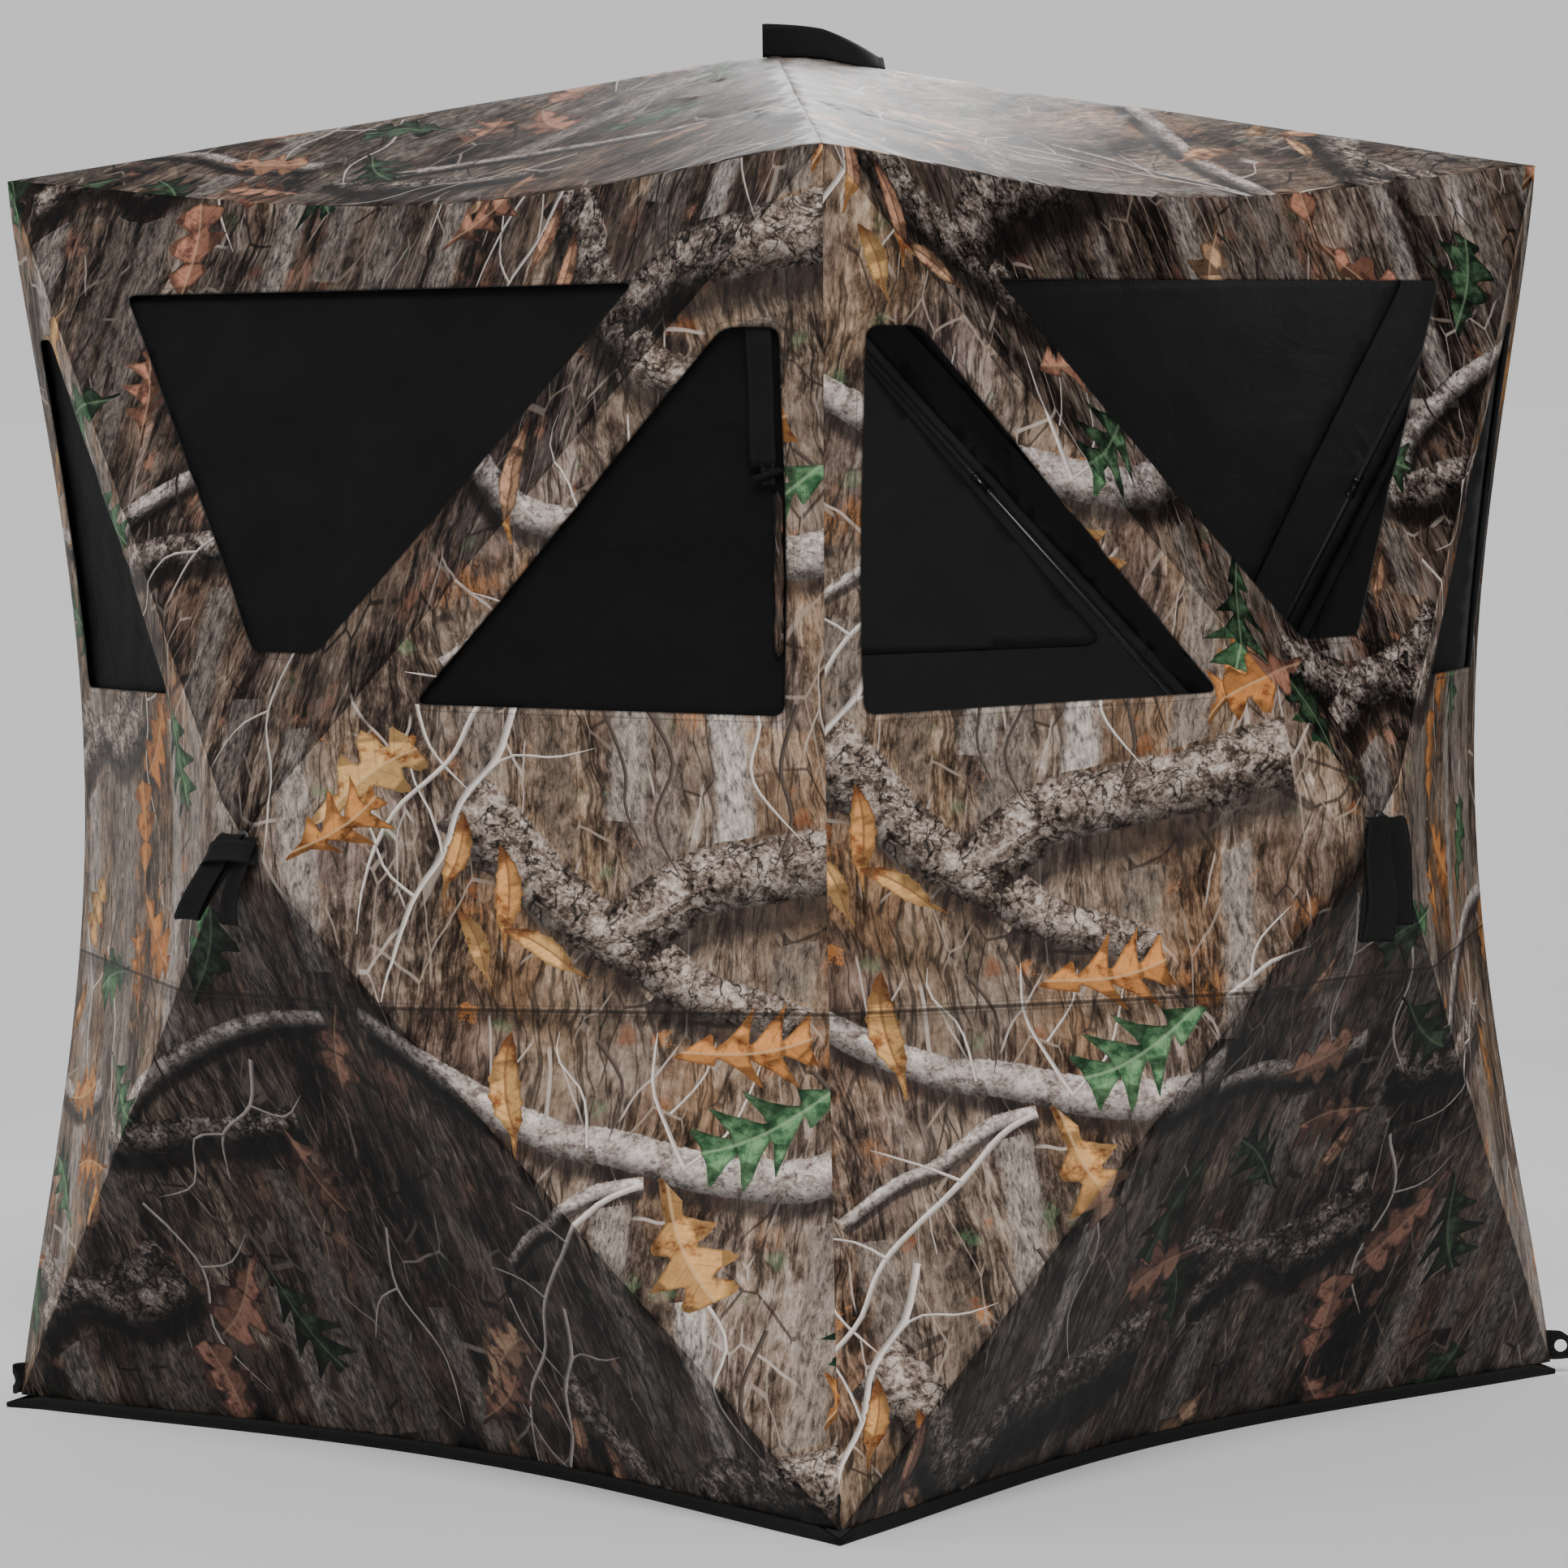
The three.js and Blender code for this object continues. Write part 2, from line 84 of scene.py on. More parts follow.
class Face:
    """A wall or the roof. A point is (u, v, out): across, up, and out from the axis or, on the roof, up."""

    def __init__(self, name):
        self.name = name
        self.body = f"{name}_hub"
        self.turn = SIDES.index(name) if name in SIDES else None
        self.hub = (0.0, WALL_HUB_HEIGHT) if self.is_wall else (0.0, 0.0)
        self.reach = WALL_REACH if self.is_wall else ROOF_HUB_HEIGHT
        self.edges = self.wall_edges() if self.is_wall else self.roof_edges()
        rim = np.array([p for edge in self.edges for p in edge[:-1]])
        angle = np.arctan2(rim[:, 1] - self.hub[1], rim[:, 0] - self.hub[0])
        order = np.argsort(angle)
        self.rim_angle = angle[order]
        self.rim_radius = np.hypot(rim[:, 0] - self.hub[0], rim[:, 1] - self.hub[1])[order]
        self.rim_out = rim[order, 2]

    @property
    def is_wall(self):
        return self.turn is not None

    def wall_edges(self):
        """The hem, right post, eave and left post, anticlockwise."""
        ts = [i / EDGE_STEPS for i in range(EDGE_STEPS + 1)]
        height = [HEM_TOP + (CORNER_HEIGHT - HEM_TOP) * t for t in ts]
        hem = [((2 * t - 1) * FOOT, HEM_TOP, FOOT - HEM_BOW * bow(t)) for t in ts]
        right = [(post_half(z), z, post_half(z)) for z in height]
        sags = [EAVE_BOW * bow(t) for t in ts]
        eave = [((1 - 2 * t) * HALF_TOP, CORNER_HEIGHT - sag, HALF_TOP - sag) for t, sag in zip(ts, sags)]
        left = [(-u, v, out) for u, v, out in reversed(right)]
        return [hem, right, eave, left]

    def roof_edges(self):
        """The front, right, back and left eaves, anticlockwise."""
        edges = []
        for c, s in QUARTER_TURNS:
            edge = []
            for t in [i / EDGE_STEPS for i in range(EDGE_STEPS + 1)]:
                sag = EAVE_BOW * bow(t)
                x, y = (2 * t - 1) * HALF_TOP, -(HALF_TOP - sag)
                edge.append((c * x - s * y, s * x + c * y, CORNER_HEIGHT - sag))
            edges.append(edge)
        return edges

    def rim_at(self, u, v):
        """Angle round the hub, and the rim's radius and height out at that angle."""
        angle = np.arctan2(v - self.hub[1], u - self.hub[0])
        radius = np.interp(angle, self.rim_angle, self.rim_radius, period=2 * math.pi)
        out = np.interp(angle, self.rim_angle, self.rim_out, period=2 * math.pi)
        return angle, radius, out

    def surface(self, u, v, inset=0.0, ripple=1.0):
        """How far out the cloth lies: rulings from the patch to the bowed rim, with slight tension folds."""
        angle, rim_radius, rim_out = self.rim_at(u, v)
        r = np.hypot(u - self.hub[0], v - self.hub[1])
        share = np.clip((r - PATCH_RADIUS) / (rim_radius - PATCH_RADIUS), 0, 1)
        out = self.reach + share * (rim_out - self.reach)
        return out - inset - ripple * self.folds(u, v, angle, share)

    def folds(self, u, v, angle, share):
        """Depth of the tension folds. They die away at the patch and at the rim."""
        seed = 1.7 * (self.turn if self.is_wall else 5.3)
        mask = (4 * share * (1 - share)) ** 0.7
        rays = 0.5 + 0.5 * np.sin(angle * 31 + 3 * np.sin(angle * 7 + seed) + seed)
        slack = np.sin(9 * u + 13 * v + seed) * np.sin(17 * u - 8 * v + 2 * seed)
        near_hub = np.exp(-share * 5)
        depth = RAY_DEPTH * rays**3 * (0.4 + 2.2 * near_hub) + SLACK_DEPTH * (0.5 + 0.5 * slack)
        for x, y in ((-1, 1), (1, 1), (1, -1), (-1, -1)):
            top = CORNER_HEIGHT if y > 0 else 0.0
            rise = (top - self.hub[1]) if self.is_wall else y * HALF_TOP
            du, dv = u - self.hub[0] - CLIP_SHARE * x * HALF_TOP, v - self.hub[1] - CLIP_SHARE * rise
            r, pinch = np.hypot(du, dv), np.arctan2(dv, du)
            star = (0.5 + 0.5 * np.sin(pinch * 7 + 2 * np.sin(pinch * 3 + seed + x))) ** 2
            depth = depth + PINCH_DEPTH * star * np.clip(r / 0.04, 0, 1) * np.exp(-r / PINCH_REACH)
        return mask * depth

    def to_row(self, u, v, out):
        """The point or points in the frame's metres."""
        u, v, out = np.broadcast_arrays(*(np.asarray(a, float) for a in (u, v, out)))
        if not self.is_wall:
            return np.stack([u, v, out], -1)
        c, s = QUARTER_TURNS[self.turn]
        x, y = u, -out
        return np.stack([c * x - s * y, s * x + c * y, v], -1)


FACES = {name: Face(name) for name in SIDES + ["roof"]}


# ---------------------------------------------------------------- node helpers
class Nodes:
    """Writes a material's nodes as expressions. A socket or a number goes in wherever one is wanted."""

    def __init__(self, name):
        self.material = bpy.data.materials.new(name)
        self.material.use_nodes = True
        self.tree = self.material.node_tree
        self.shader = self.tree.nodes["Principled BSDF"]

    def put(self, socket, value):
        if isinstance(value, bpy.types.NodeSocket):
            self.tree.links.new(value, socket)
        elif isinstance(value, tuple) and len(value) == 3 and socket.type == "RGBA":
            socket.default_value = (*value, 1.0)
        else:
            socket.default_value = value

    def node(self, kind, inputs=None, **settings):
        n = self.tree.nodes.new(kind)
        for key, value in settings.items():
            setattr(n, key, value)
        for key, value in (inputs or {}).items():
            self.put(n.inputs[key], value)
        return n

    def math(self, operation, *values):
        return self.node("ShaderNodeMath", dict(enumerate(values)), operation=operation).outputs[0]

    def add(self, a, b):
        return self.math("ADD", a, b)

    def mul(self, a, b):
        return self.math("MULTIPLY", a, b)

    def sub(self, a, b):
        return self.math("SUBTRACT", a, b)

    def absolute(self, a):
        return self.math("ABSOLUTE", a)

    def sine(self, a, rate):
        return self.math("SINE", self.mul(a, rate))

    def swing(self, value, amount):
        """How far the value lies from 0.5, times an amount."""
        return self.mul(self.sub(value, 0.5), amount)

    def step(self, value, low, high, a=0.0, b=1.0):
        """Goes smoothly from a at low to b at high."""
        inputs = {0: value, 1: low, 2: high, 3: a, 4: b}
        return self.node("ShaderNodeMapRange", inputs, interpolation_type="SMOOTHSTEP").outputs[0]

    def fall(self, value, low, high):
        return self.step(value, low, high, 1.0, 0.0)

    def vector(self, operation, *values):
        return self.node("ShaderNodeVectorMath", dict(enumerate(values)), operation=operation).outputs[0]

    def shade(self, colour, amount):
        """Colour times a number."""
        inputs = {0: colour, "Scale": amount}
        return self.node("ShaderNodeVectorMath", inputs, operation="SCALE").outputs[0]

    def attribute(self, name, output="Vector"):
        return self.node("ShaderNodeAttribute", attribute_name=name).outputs[output]

    def object_place(self):
        return self.node("ShaderNodeTexCoord").outputs["Object"]

    def split(self, vector):
        n = self.node("ShaderNodeSeparateXYZ", {0: vector})
        return n.outputs[0], n.outputs[1], n.outputs[2]

    def join(self, x, y):
        return self.node("ShaderNodeCombineXYZ", {0: x, 1: y}).outputs[0]

    def stretched(self, vector, up, offset=(0, 0, 0)):
        """The vector with its second axis scaled, then moved. A small scale draws a noise out upwards."""
        return self.node("ShaderNodeMapping", {0: vector, "Scale": (1, up, 1), "Location": offset}).outputs[0]

    def noise(self, vector, scale, detail=3.0, rough=0.55, warp=0.0, colour=False):
        inputs = {"Vector": vector, "Scale": scale, "Detail": detail, "Roughness": rough, "Distortion": warp}
        return self.node("ShaderNodeTexNoise", inputs).outputs[1 if colour else 0]

    def voronoi(self, vector, scale, feature="F1", output="Distance"):
        n = self.node("ShaderNodeTexVoronoi", {"Vector": vector, "Scale": scale}, feature=feature)
        return n.outputs[output]

    def mix(self, factor, a, b, mode="MIX"):
        n = self.node("ShaderNodeMix", data_type="RGBA", blend_type=mode)
        for index, value in ((0, factor), (6, a), (7, b)):
            self.put(n.inputs[index], value)
        return n.outputs[2]

    def ramp(self, factor, stops):
        n = self.node("ShaderNodeValToRGB", {0: factor})
        elements = n.color_ramp.elements
        while len(elements) < len(stops):
            elements.new(0.5)
        for element, (place, colour) in zip(elements, stops):
            element.position = place
            element.color = (*colour, 1.0)
        return n.outputs[0]

    def bump(self, height, distance, strength):
        inputs = {"Height": height, "Distance": distance, "Strength": strength}
        return self.node("ShaderNodeBump", inputs).outputs[0]

    def finish(self, **values):
        for name, value in values.items():
            self.put(self.shader.inputs[name.replace("_", " ")], value)
        return self.material


# ---------------------------------------------------------------- the camouflage print
BARK_STOPS = [
    (0.20, (0.014, 0.010, 0.008)), (0.38, (0.060, 0.041, 0.030)), (0.52, (0.150, 0.108, 0.080)),
    (0.68, (0.270, 0.205, 0.160)), (0.84, (0.430, 0.355, 0.300)), (1.0, (0.62, 0.55, 0.49)),
]
LICHEN_STOPS = [
    (0.34, (0.034, 0.025, 0.020)), (0.47, (0.17, 0.125, 0.098)),
    (0.58, (0.40, 0.325, 0.275)), (0.78, (0.80, 0.69, 0.62)),
]
BIRCH_STOPS = [(0.32, (0.16, 0.12, 0.10)), (0.48, (0.42, 0.35, 0.31)), (0.70, (0.80, 0.72, 0.67))]
ORANGE, TAN, RUST = (0.62, 0.235, 0.065), (0.72, 0.43, 0.17), (0.25, 0.075, 0.022)
GREEN, GREEN_LIGHT = (0.026, 0.080, 0.034), (0.14, 0.27, 0.13)
DEEP_SHADE, PALE_WOOD = (0.016, 0.012, 0.011), (0.66, 0.58, 0.52)
# Layers of brush: scale, turn, stretch, line width, how sparse, strength and colour
BRUSH = [
    (15, 0.5, 0.5, 0.018, 0.48, 0.75, (0.022, 0.016, 0.013)),
    (11, -0.6, 0.45, 0.012, 0.50, 0.75, (0.46, 0.39, 0.34)),
    (19, 1.1, 0.4, 0.018, 0.50, 0.6, (0.34, 0.27, 0.22)),
]
KINDS = ["bark", "lichen", "birch", "oak", "green", "long", "twig", "shadow", "trunk"]
# Stitching: rows' distance from the seam and from a window's edge, half the thread's width, stitches' rate
SEAM_ROW, WINDOW_ROW, THREAD, STITCH_RATE = 0.0055, 0.0075, 0.0005, 800.0
WEAVE_RATE = 4800.0  # the cloth's threads, in radians per metre


def print_textures(n):
    """The print's coordinates, and the noises that its layers share."""
    printed = n.attribute("print")
    warp = n.vector("SUBTRACT", n.noise(printed, 5, 3, colour=True), (0.5, 0.5, 0.5))
    bent = n.vector("MULTIPLY_ADD", warp, (0.07, 0.05, 0.0), printed)
    a, b, kind = n.split(n.attribute("motif"))
    tint, tone, rim = n.split(n.attribute("hue"))
    return SimpleNamespace(
        printed=printed, warp=warp, bent=bent, a=a, b=b, kind=kind, tint=tint, tone=tone, rim=rim,
        grain=n.noise(n.stretched(bent, 0.13), 75, 7, 0.78, 0.5),
        fleck=n.noise(n.stretched(printed, 0.30), 120, 6, 0.80, 0.6),
        fine=n.noise(n.stretched(bent, 0.30), 240, 4, 0.78),
        blotch=n.noise(printed, 11, 5, 0.65, 0.5),
    )


def bark_colour(n, t):
    """Trunks side by side: broad tones, streaks and flecks along the grain, and patches out of focus."""
    trunk = n.noise(n.stretched(t.bent, 0.10), 9, 3, 0.55)
    value = n.add(n.swing(trunk, 1.15), n.swing(t.grain, 1.35))
    value = n.add(value, n.add(n.swing(t.fine, 0.7), n.swing(t.blotch, 0.75)))
    value = n.add(n.add(value, 0.5), n.swing(t.fleck, 0.95))
    soft = n.step(n.noise(n.stretched(t.printed, 0.55, (3, 8, 0)), 8.5, 3, 0.55), 0.49, 0.57)
    smooth = n.add(n.swing(t.blotch, 1.1), n.swing(t.fleck, 0.95))
    smooth = n.add(n.add(smooth, 0.53), n.swing(t.grain, 0.35))
    return n.ramp(n.add(value, n.mul(n.mul(soft, 0.75), n.sub(smooth, value))), BARK_STOPS)


def bark_tints(n, t, bark):
    """Warm and cool patches, plates that are browner, darker or paler, and dark cracks."""
    warm = n.step(n.noise(n.stretched(t.printed, 0.5, (7, 2, 0)), 4.5, 3, 0.6), 0.44, 0.62)
    cool = n.step(n.noise(n.stretched(t.printed, 0.4, (1, 9, 0)), 5.3, 2), 0.50, 0.62)
    plate = n.split(n.voronoi(n.stretched(t.bent, 0.55), 12, "F1", "Color"))[0]
    pale = n.mul(n.step(plate, 0.46, 0.50, 0.0, 0.6), n.step(plate, 0.60, 0.56))
    for amount, tint in (
        (n.mul(warm, 0.60), (1.12, 0.94, 0.70)),
        (n.mul(cool, 0.6), (1.0, 1.0, 1.10)),
        (n.step(plate, 0.84, 0.88, 0.0, 0.6), (0.98, 0.78, 0.60)),
        (n.step(plate, 0.20, 0.16, 0.0, 0.70), (0.60, 0.57, 0.62)),
        (pale, (1.26, 1.20, 1.12)),
    ):
        bark = n.mix(amount, bark, n.mix(1.0, bark, tint, "MULTIPLY"))
    crack = n.absolute(n.sub(n.noise(n.stretched(t.bent, 0.09, (4, 1, 0)), 26, 3, 0.6), 0.5))
    return n.shade(bark, n.step(crack, 0.0, 0.022, 0.30, 1.0))


def litter_over(n, t, bark):
    """Torn dead leaves, green ones and thickets, with the grain showing through."""
    pick, _, other = n.split(n.voronoi(t.bent, 30, "F1", "Color"))
    ragged = n.swing(n.noise(t.printed, 60, 5, 0.85), 1.9)
    torn = n.fall(n.add(n.voronoi(t.bent, 30), ragged), 0.22, 0.34)
    dead = n.shade(n.mix(other, RUST, ORANGE), n.add(0.15, n.mul(t.fleck, 1.5)))
    bark = n.mix(n.mul(torn, n.mul(n.step(pick, 0.86, 0.88), 0.45)), bark, dead)
    moss = n.shade(GREEN_LIGHT, n.add(0.10, n.mul(t.fleck, 1.3)))
    bark = n.mix(n.mul(torn, n.mul(n.step(pick, 0.08, 0.06), 0.30)), bark, moss)
    thicket = n.step(n.noise(n.stretched(t.printed, 1, (5, 5, 0)), 5.5, 3, 0.6), 0.57, 0.66)
    thicket = n.mul(thicket, n.step(t.fleck, 0.42, 0.62))
    return n.mix(n.mul(thicket, 0.65), bark, n.shade(ORANGE, n.add(0.15, n.mul(t.grain, 0.9))))


def brush_over(n, t, colour):
    """Straight thin twigs that cross: dark ones, then pale ones over them."""
    for scale, turn, stretch, width, sparse, strength, wood in BRUSH:
        inputs = {0: t.printed, "Rotation": (0, 0, turn), "Scale": (1, stretch, 1)}
        spun = n.node("ShaderNodeMapping", inputs).outputs[0]
        shaken = n.vector("MULTIPLY_ADD", t.warp, (0.03, 0.03, 0.0), spun)
        line = n.fall(n.voronoi(shaken, scale, "DISTANCE_TO_EDGE"), width * 0.5, width)
        there = n.noise(n.stretched(t.printed, 1, (scale, turn, 0)), 7, 2, 0.5)
        shown = n.mul(line, n.step(there, sparse, sparse + 0.05))
        colour = n.mix(n.mul(shown, strength), colour, wood)
    return colour


def lay(n, t, colour, kind, other, cover=1.0):
    """Another colour where the mesh has motifs of a kind."""
    is_kind = n.math("COMPARE", t.kind, float(KINDS.index(kind)), 0.3)
    return n.mix(n.mul(is_kind, cover), colour, other)


def limbs_over(n, t, colour):
    """The limbs' shadows and soft trunks, then limbs that are lit on top and dark below."""
    ragged = n.add(n.absolute(t.b), n.swing(n.noise(t.printed, 70, 4, 0.7), 0.45))
    in_limb = n.fall(ragged, 0.86, 0.96)
    colour = lay(n, t, colour, "shadow", DEEP_SHADE, n.mul(n.fall(ragged, 0.35, 1.0), 0.80))
    streak = n.step(n.add(t.fleck, n.swing(t.fine, 0.8)), 0.25, 0.75, 0.12, 1.25)
    stem = n.mix(t.tint, (0.16, 0.112, 0.080), PALE_WOOD)
    stem = n.shade(stem, n.mul(streak, n.add(0.15, n.mul(t.grain, 1.5))))
    in_trunk = n.fall(n.add(ragged, n.swing(t.grain, 1.2)), 0.45, 0.95)
    colour = lay(n, t, colour, "trunk", stem, n.mul(in_trunk, 0.85))
    beneath = n.step(t.b, -0.35, -0.10, 0.80, 0.0)
    colour = lay(n, t, colour, "lichen", DEEP_SHADE, beneath)
    colour = lay(n, t, colour, "birch", DEEP_SHADE, beneath)
    speck = n.add(n.noise(t.printed, 150, 7, 0.82, 0.5), n.swing(n.noise(t.printed, 42, 4, 0.7, 0.8), 0.9))
    lit = n.mul(n.step(t.b, -0.95, 0.35, 0.16, 1.0), n.step(t.b, 0.55, 1.0, 1.0, 0.70))
    crack = n.absolute(n.sub(n.noise(t.printed, 24, 3, 0.6, 0.6), 0.5))
    lichen = n.shade(n.shade(n.ramp(speck, LICHEN_STOPS), lit), n.step(crack, 0.004, 0.022, 0.18, 1.0))
    colour = lay(n, t, colour, "lichen", lichen, in_limb)
    dash = n.step(n.noise(n.join(t.a, n.mul(t.b, 0.03)), 70, 4, 0.75), 0.55, 0.62)
    birch = n.mix(n.mul(dash, 0.70), n.ramp(speck, BIRCH_STOPS), (0.07, 0.05, 0.042))
    return lay(n, t, colour, "birch", n.shade(birch, lit), in_limb)


def leaves_over(n, t, colour):
    """Leaves with thin veins, blotches and a dark curled rim, and twigs lit on top."""
    off_middle = n.absolute(t.b)
    vein = n.fall(off_middle, 0.004, 0.022)
    rib = n.absolute(n.math("SINE", n.sub(n.mul(t.a, 16.0), n.mul(off_middle, 11.0))))
    rib = n.mul(n.fall(rib, 0.0, 0.20), 0.28)
    side = n.step(t.b, -0.02, 0.02, 0.66, 1.0)
    mottle = n.mul(n.add(0.28, n.mul(n.noise(t.printed, 70, 6, 0.75), 1.35)), side)
    curled = n.mul(n.sub(1.0, rib), n.step(t.rim, 0.0, 0.0035, 0.42, 1.0))
    mottle = n.mul(mottle, n.mul(t.tone, curled))
    leaf = n.mix(n.step(n.noise(t.printed, 36, 4, 0.7), 0.50, 0.68), n.mix(t.tint, ORANGE, TAN), RUST)
    green = n.mix(n.step(n.noise(t.printed, 40, 5, 0.7), 0.38, 0.62), GREEN, GREEN_LIGHT)
    for kind, flesh, veined, vein_colour in (
        ("oak", leaf, 0.5, (0.60, 0.40, 0.22)),
        ("long", n.mix(n.step(t.a, 0.6, 1.0), leaf, RUST), 0.7, (0.14, 0.06, 0.025)),
        ("green", green, 0.45, (0.30, 0.42, 0.24)),
    ):
        colour = lay(n, t, colour, kind, n.mix(n.mul(vein, veined), n.shade(flesh, mottle), vein_colour))
    twig = n.mix(t.tint, (0.09, 0.066, 0.054), PALE_WOOD)
    lit = n.mul(n.step(t.b, -1.0, 0.5, 0.35, 1.0), n.add(0.45, n.mul(t.fleck, 1.1)))
    return lay(n, t, colour, "twig", n.shade(twig, lit))


def with_painted_shade(n, colour):
    """Painted shade on the darker panels. They keep their contrast and lose some of their colour."""
    panel = n.attribute("panel", "Fac")
    darker = n.sub(1.0, panel)
    colour = n.node("ShaderNodeGamma", {0: colour, 1: n.add(1.0, n.mul(darker, 0.70))}).outputs[0]
    colour = n.shade(colour, n.mul(panel, n.add(1.0, n.mul(darker, 1.75))))
    faded = n.sub(1.0, n.mul(darker, 0.42))
    return n.node("ShaderNodeHueSaturation", {"Color": colour, "Saturation": faded}).outputs[0]


def camo_material():
    """Woodland print on coated cloth. The shader has the bark, and the mesh says where motifs lie."""
    n = Nodes("camo_cloth")
    t = print_textures(n)
    colour = bark_tints(n, t, bark_colour(n, t))
    for layer in (litter_over, brush_over, limbs_over, leaves_over):
        colour = layer(n, t, colour)
    # Painted shade, panel by panel
    colour = with_painted_shade(n, colour)

    # Panel seam, painted shade under its lap, and the stitched turn-in round each window
    place = n.attribute("place")
    u, v, edge = n.split(place)
    off_seam, below = n.absolute(n.sub(v, SEAM_HEIGHT)), n.sub(SEAM_HEIGHT, v)
    shade_under_lap = n.mul(n.step(below, 0.0, 0.001), n.fall(below, 0.010, 0.022))
    rows = [n.absolute(n.sub(off_seam, SEAM_ROW)), n.absolute(n.sub(edge, WINDOW_ROW))]
    dashes = n.step(n.absolute(n.sine(n.add(u, v), STITCH_RATE)), 0.25, 0.45)
    stitches = n.mul(n.add(*(n.fall(row, THREAD, 2 * THREAD) for row in rows)), dashes)
    # Painted shade: a band just under the seam's lap is darkened
    colour = n.shade(colour, n.sub(1.0, n.mul(shade_under_lap, 0.35)))
    colour = n.mix(n.mul(n.fall(off_seam, 0.0010, 0.0030), 0.75), colour, (0.012, 0.010, 0.008))
    colour = n.mix(n.mul(stitches, 0.45), colour, (0.03, 0.024, 0.020))
    colour = n.shade(colour, n.step(edge, 0.0, 0.0030, 0.35, 1.0))

    weave = n.mul(n.sine(u, WEAVE_RATE), n.sine(v, WEAVE_RATE))
    height = n.add(n.mul(weave, 0.05), n.mul(n.noise(place, 38, 4, 0.6, 0.6), 0.8))
    doubled = n.add(n.step(off_seam, 0.004, 0.008, 0.35, 0.0), n.step(edge, 0.0070, 0.0090, 0.3, 0.0))
    height = n.sub(n.add(height, doubled), n.mul(stitches, 0.25))
    rough = n.add(0.42, n.mul(n.noise(place, 55, 3), 0.16))
    return n.finish(Base_Color=colour, Roughness=rough, Normal=n.bump(height, 0.0015, 0.5),
                    Specular_IOR_Level=0.10, Sheen_Weight=0.005, Sheen_Roughness=0.45)


# ---------------------------------------------------------------- the other materials
def lining_material(name, colour, rough, specular):
    """Black coated cloth: slight gloss over fine creases."""
    n = Nodes(name)
    where = n.object_place()
    x, y, z = n.split(where)
    fine = n.noise(where, 120, 3, 0.6)
    weave = n.mul(n.sine(z, 4200.0), n.sine(n.add(x, y), 4200.0))
    tone = n.mix(n.noise(where, 14, 3), colour, tuple(c * 1.9 for c in colour))
    height = n.add(n.noise(where, 9, 5, 0.62, 1.2), n.add(n.mul(fine, 0.10), n.mul(weave, 0.03)))
    rough = n.add(rough, n.mul(fine, 0.18))
    return n.finish(Base_Color=tone, Roughness=rough, Normal=n.bump(height, 0.006, 0.7),
                    Specular_IOR_Level=specular, Sheen_Weight=0.0)


def webbing_material():
    """Black woven tape: ribs across, a fine herringbone, and a row of stitches near its edge."""
    n = Nodes("black_webbing")
    a, b, edge = n.split(n.attribute("tape"))
    rib = n.sine(a, 3600.0)
    cross = n.math("SINE", n.add(n.mul(b, 2600.0), n.mul(a, 1800.0)))
    fuzz = n.noise(n.object_place(), 420, 3, 0.7)
    row = n.fall(n.absolute(n.sub(edge, 0.0032)), 0.0004, 0.0009)
    stitch = n.mul(row, n.step(n.sine(a, 1500.0), -0.2, 0.1))
    dark, pale = (0.0018, 0.0018, 0.0018), (0.0090, 0.0088, 0.0086)
    colour = n.ramp(n.add(n.mul(rib, 0.18), fuzz), [(0.25, dark), (0.75, pale)])
    colour = n.mix(n.mul(stitch, 0.5), colour, (0.028, 0.027, 0.026))
    height = n.add(n.mul(cross, 0.25), n.add(n.mul(fuzz, 0.5), n.mul(stitch, 0.6)))
    height = n.add(n.mul(rib, 0.5), height)
    rough = n.add(0.62, n.mul(fuzz, 0.2))
    return n.finish(Base_Color=colour, Roughness=rough, Normal=n.bump(height, 0.0006, 0.8),
                    Specular_IOR_Level=0.13, Sheen_Weight=0.01, Sheen_Roughness=0.5)


def nylon_material():
    """Moulded nylon: fine texture, with rubbed lighter edges."""
    n = Nodes("hub_nylon")
    where = n.object_place()
    smear = n.noise(where, 22, 4, 0.6)
    edge = n.step(n.node("ShaderNodeNewGeometry").outputs["Pointiness"], 0.52, 0.60)
    tone = n.mix(smear, (0.012, 0.012, 0.013), (0.0216, 0.0216, 0.0234))
    tone = n.mix(n.mul(edge, 0.5), tone, (0.10, 0.10, 0.10))
    rough = n.add(0.38, n.mul(smear, 0.22))
    bump = n.bump(n.noise(where, 260, 3, 0.6), 0.0003, 0.5)
    return n.finish(Base_Color=tone, Roughness=rough, Normal=bump, Specular_IOR_Level=0.5)


def rod_material():
    """Pultruded fibreglass: fine lengthwise fibres under resin. Fittings on the rod are plain black."""
    n = Nodes("rod_fibreglass")
    a, b, part = n.split(n.attribute("tape"))
    fibre = n.noise(n.join(n.mul(a, 0.02), b), 900, 4, 0.7)
    colour = n.ramp(fibre, [(0.3, (0.022, 0.022, 0.024)), (0.8, (0.085, 0.085, 0.090))])
    colour = n.mix(n.step(part, 0.4, 0.6), colour, (0.020, 0.020, 0.020))
    rough = n.add(0.16, n.mul(n.noise(n.object_place(), 40, 3), 0.22))
    return n.finish(Base_Color=colour, Roughness=rough, Normal=n.bump(fibre, 0.0002, 0.4),
                    Specular_IOR_Level=0.70, Coat_Weight=0.8, Coat_Roughness=0.16)


CAMO = camo_material()
LINING = lining_material("black_lining", (0.026, 0.026, 0.027), 0.36, 0.4)
COVER = lining_material("cover_cloth", (0.0045, 0.0045, 0.0048), 0.60, 0.06)
WEBBING, HUB, ROD = webbing_material(), nylon_material(), rod_material()

# ---------------------------------------------------------------- the print's motifs
# One repeat of the print, in metres. Its motifs' places are in centimetres across and up.
REPEAT_U, REPEAT_V = 1.46, 0.697
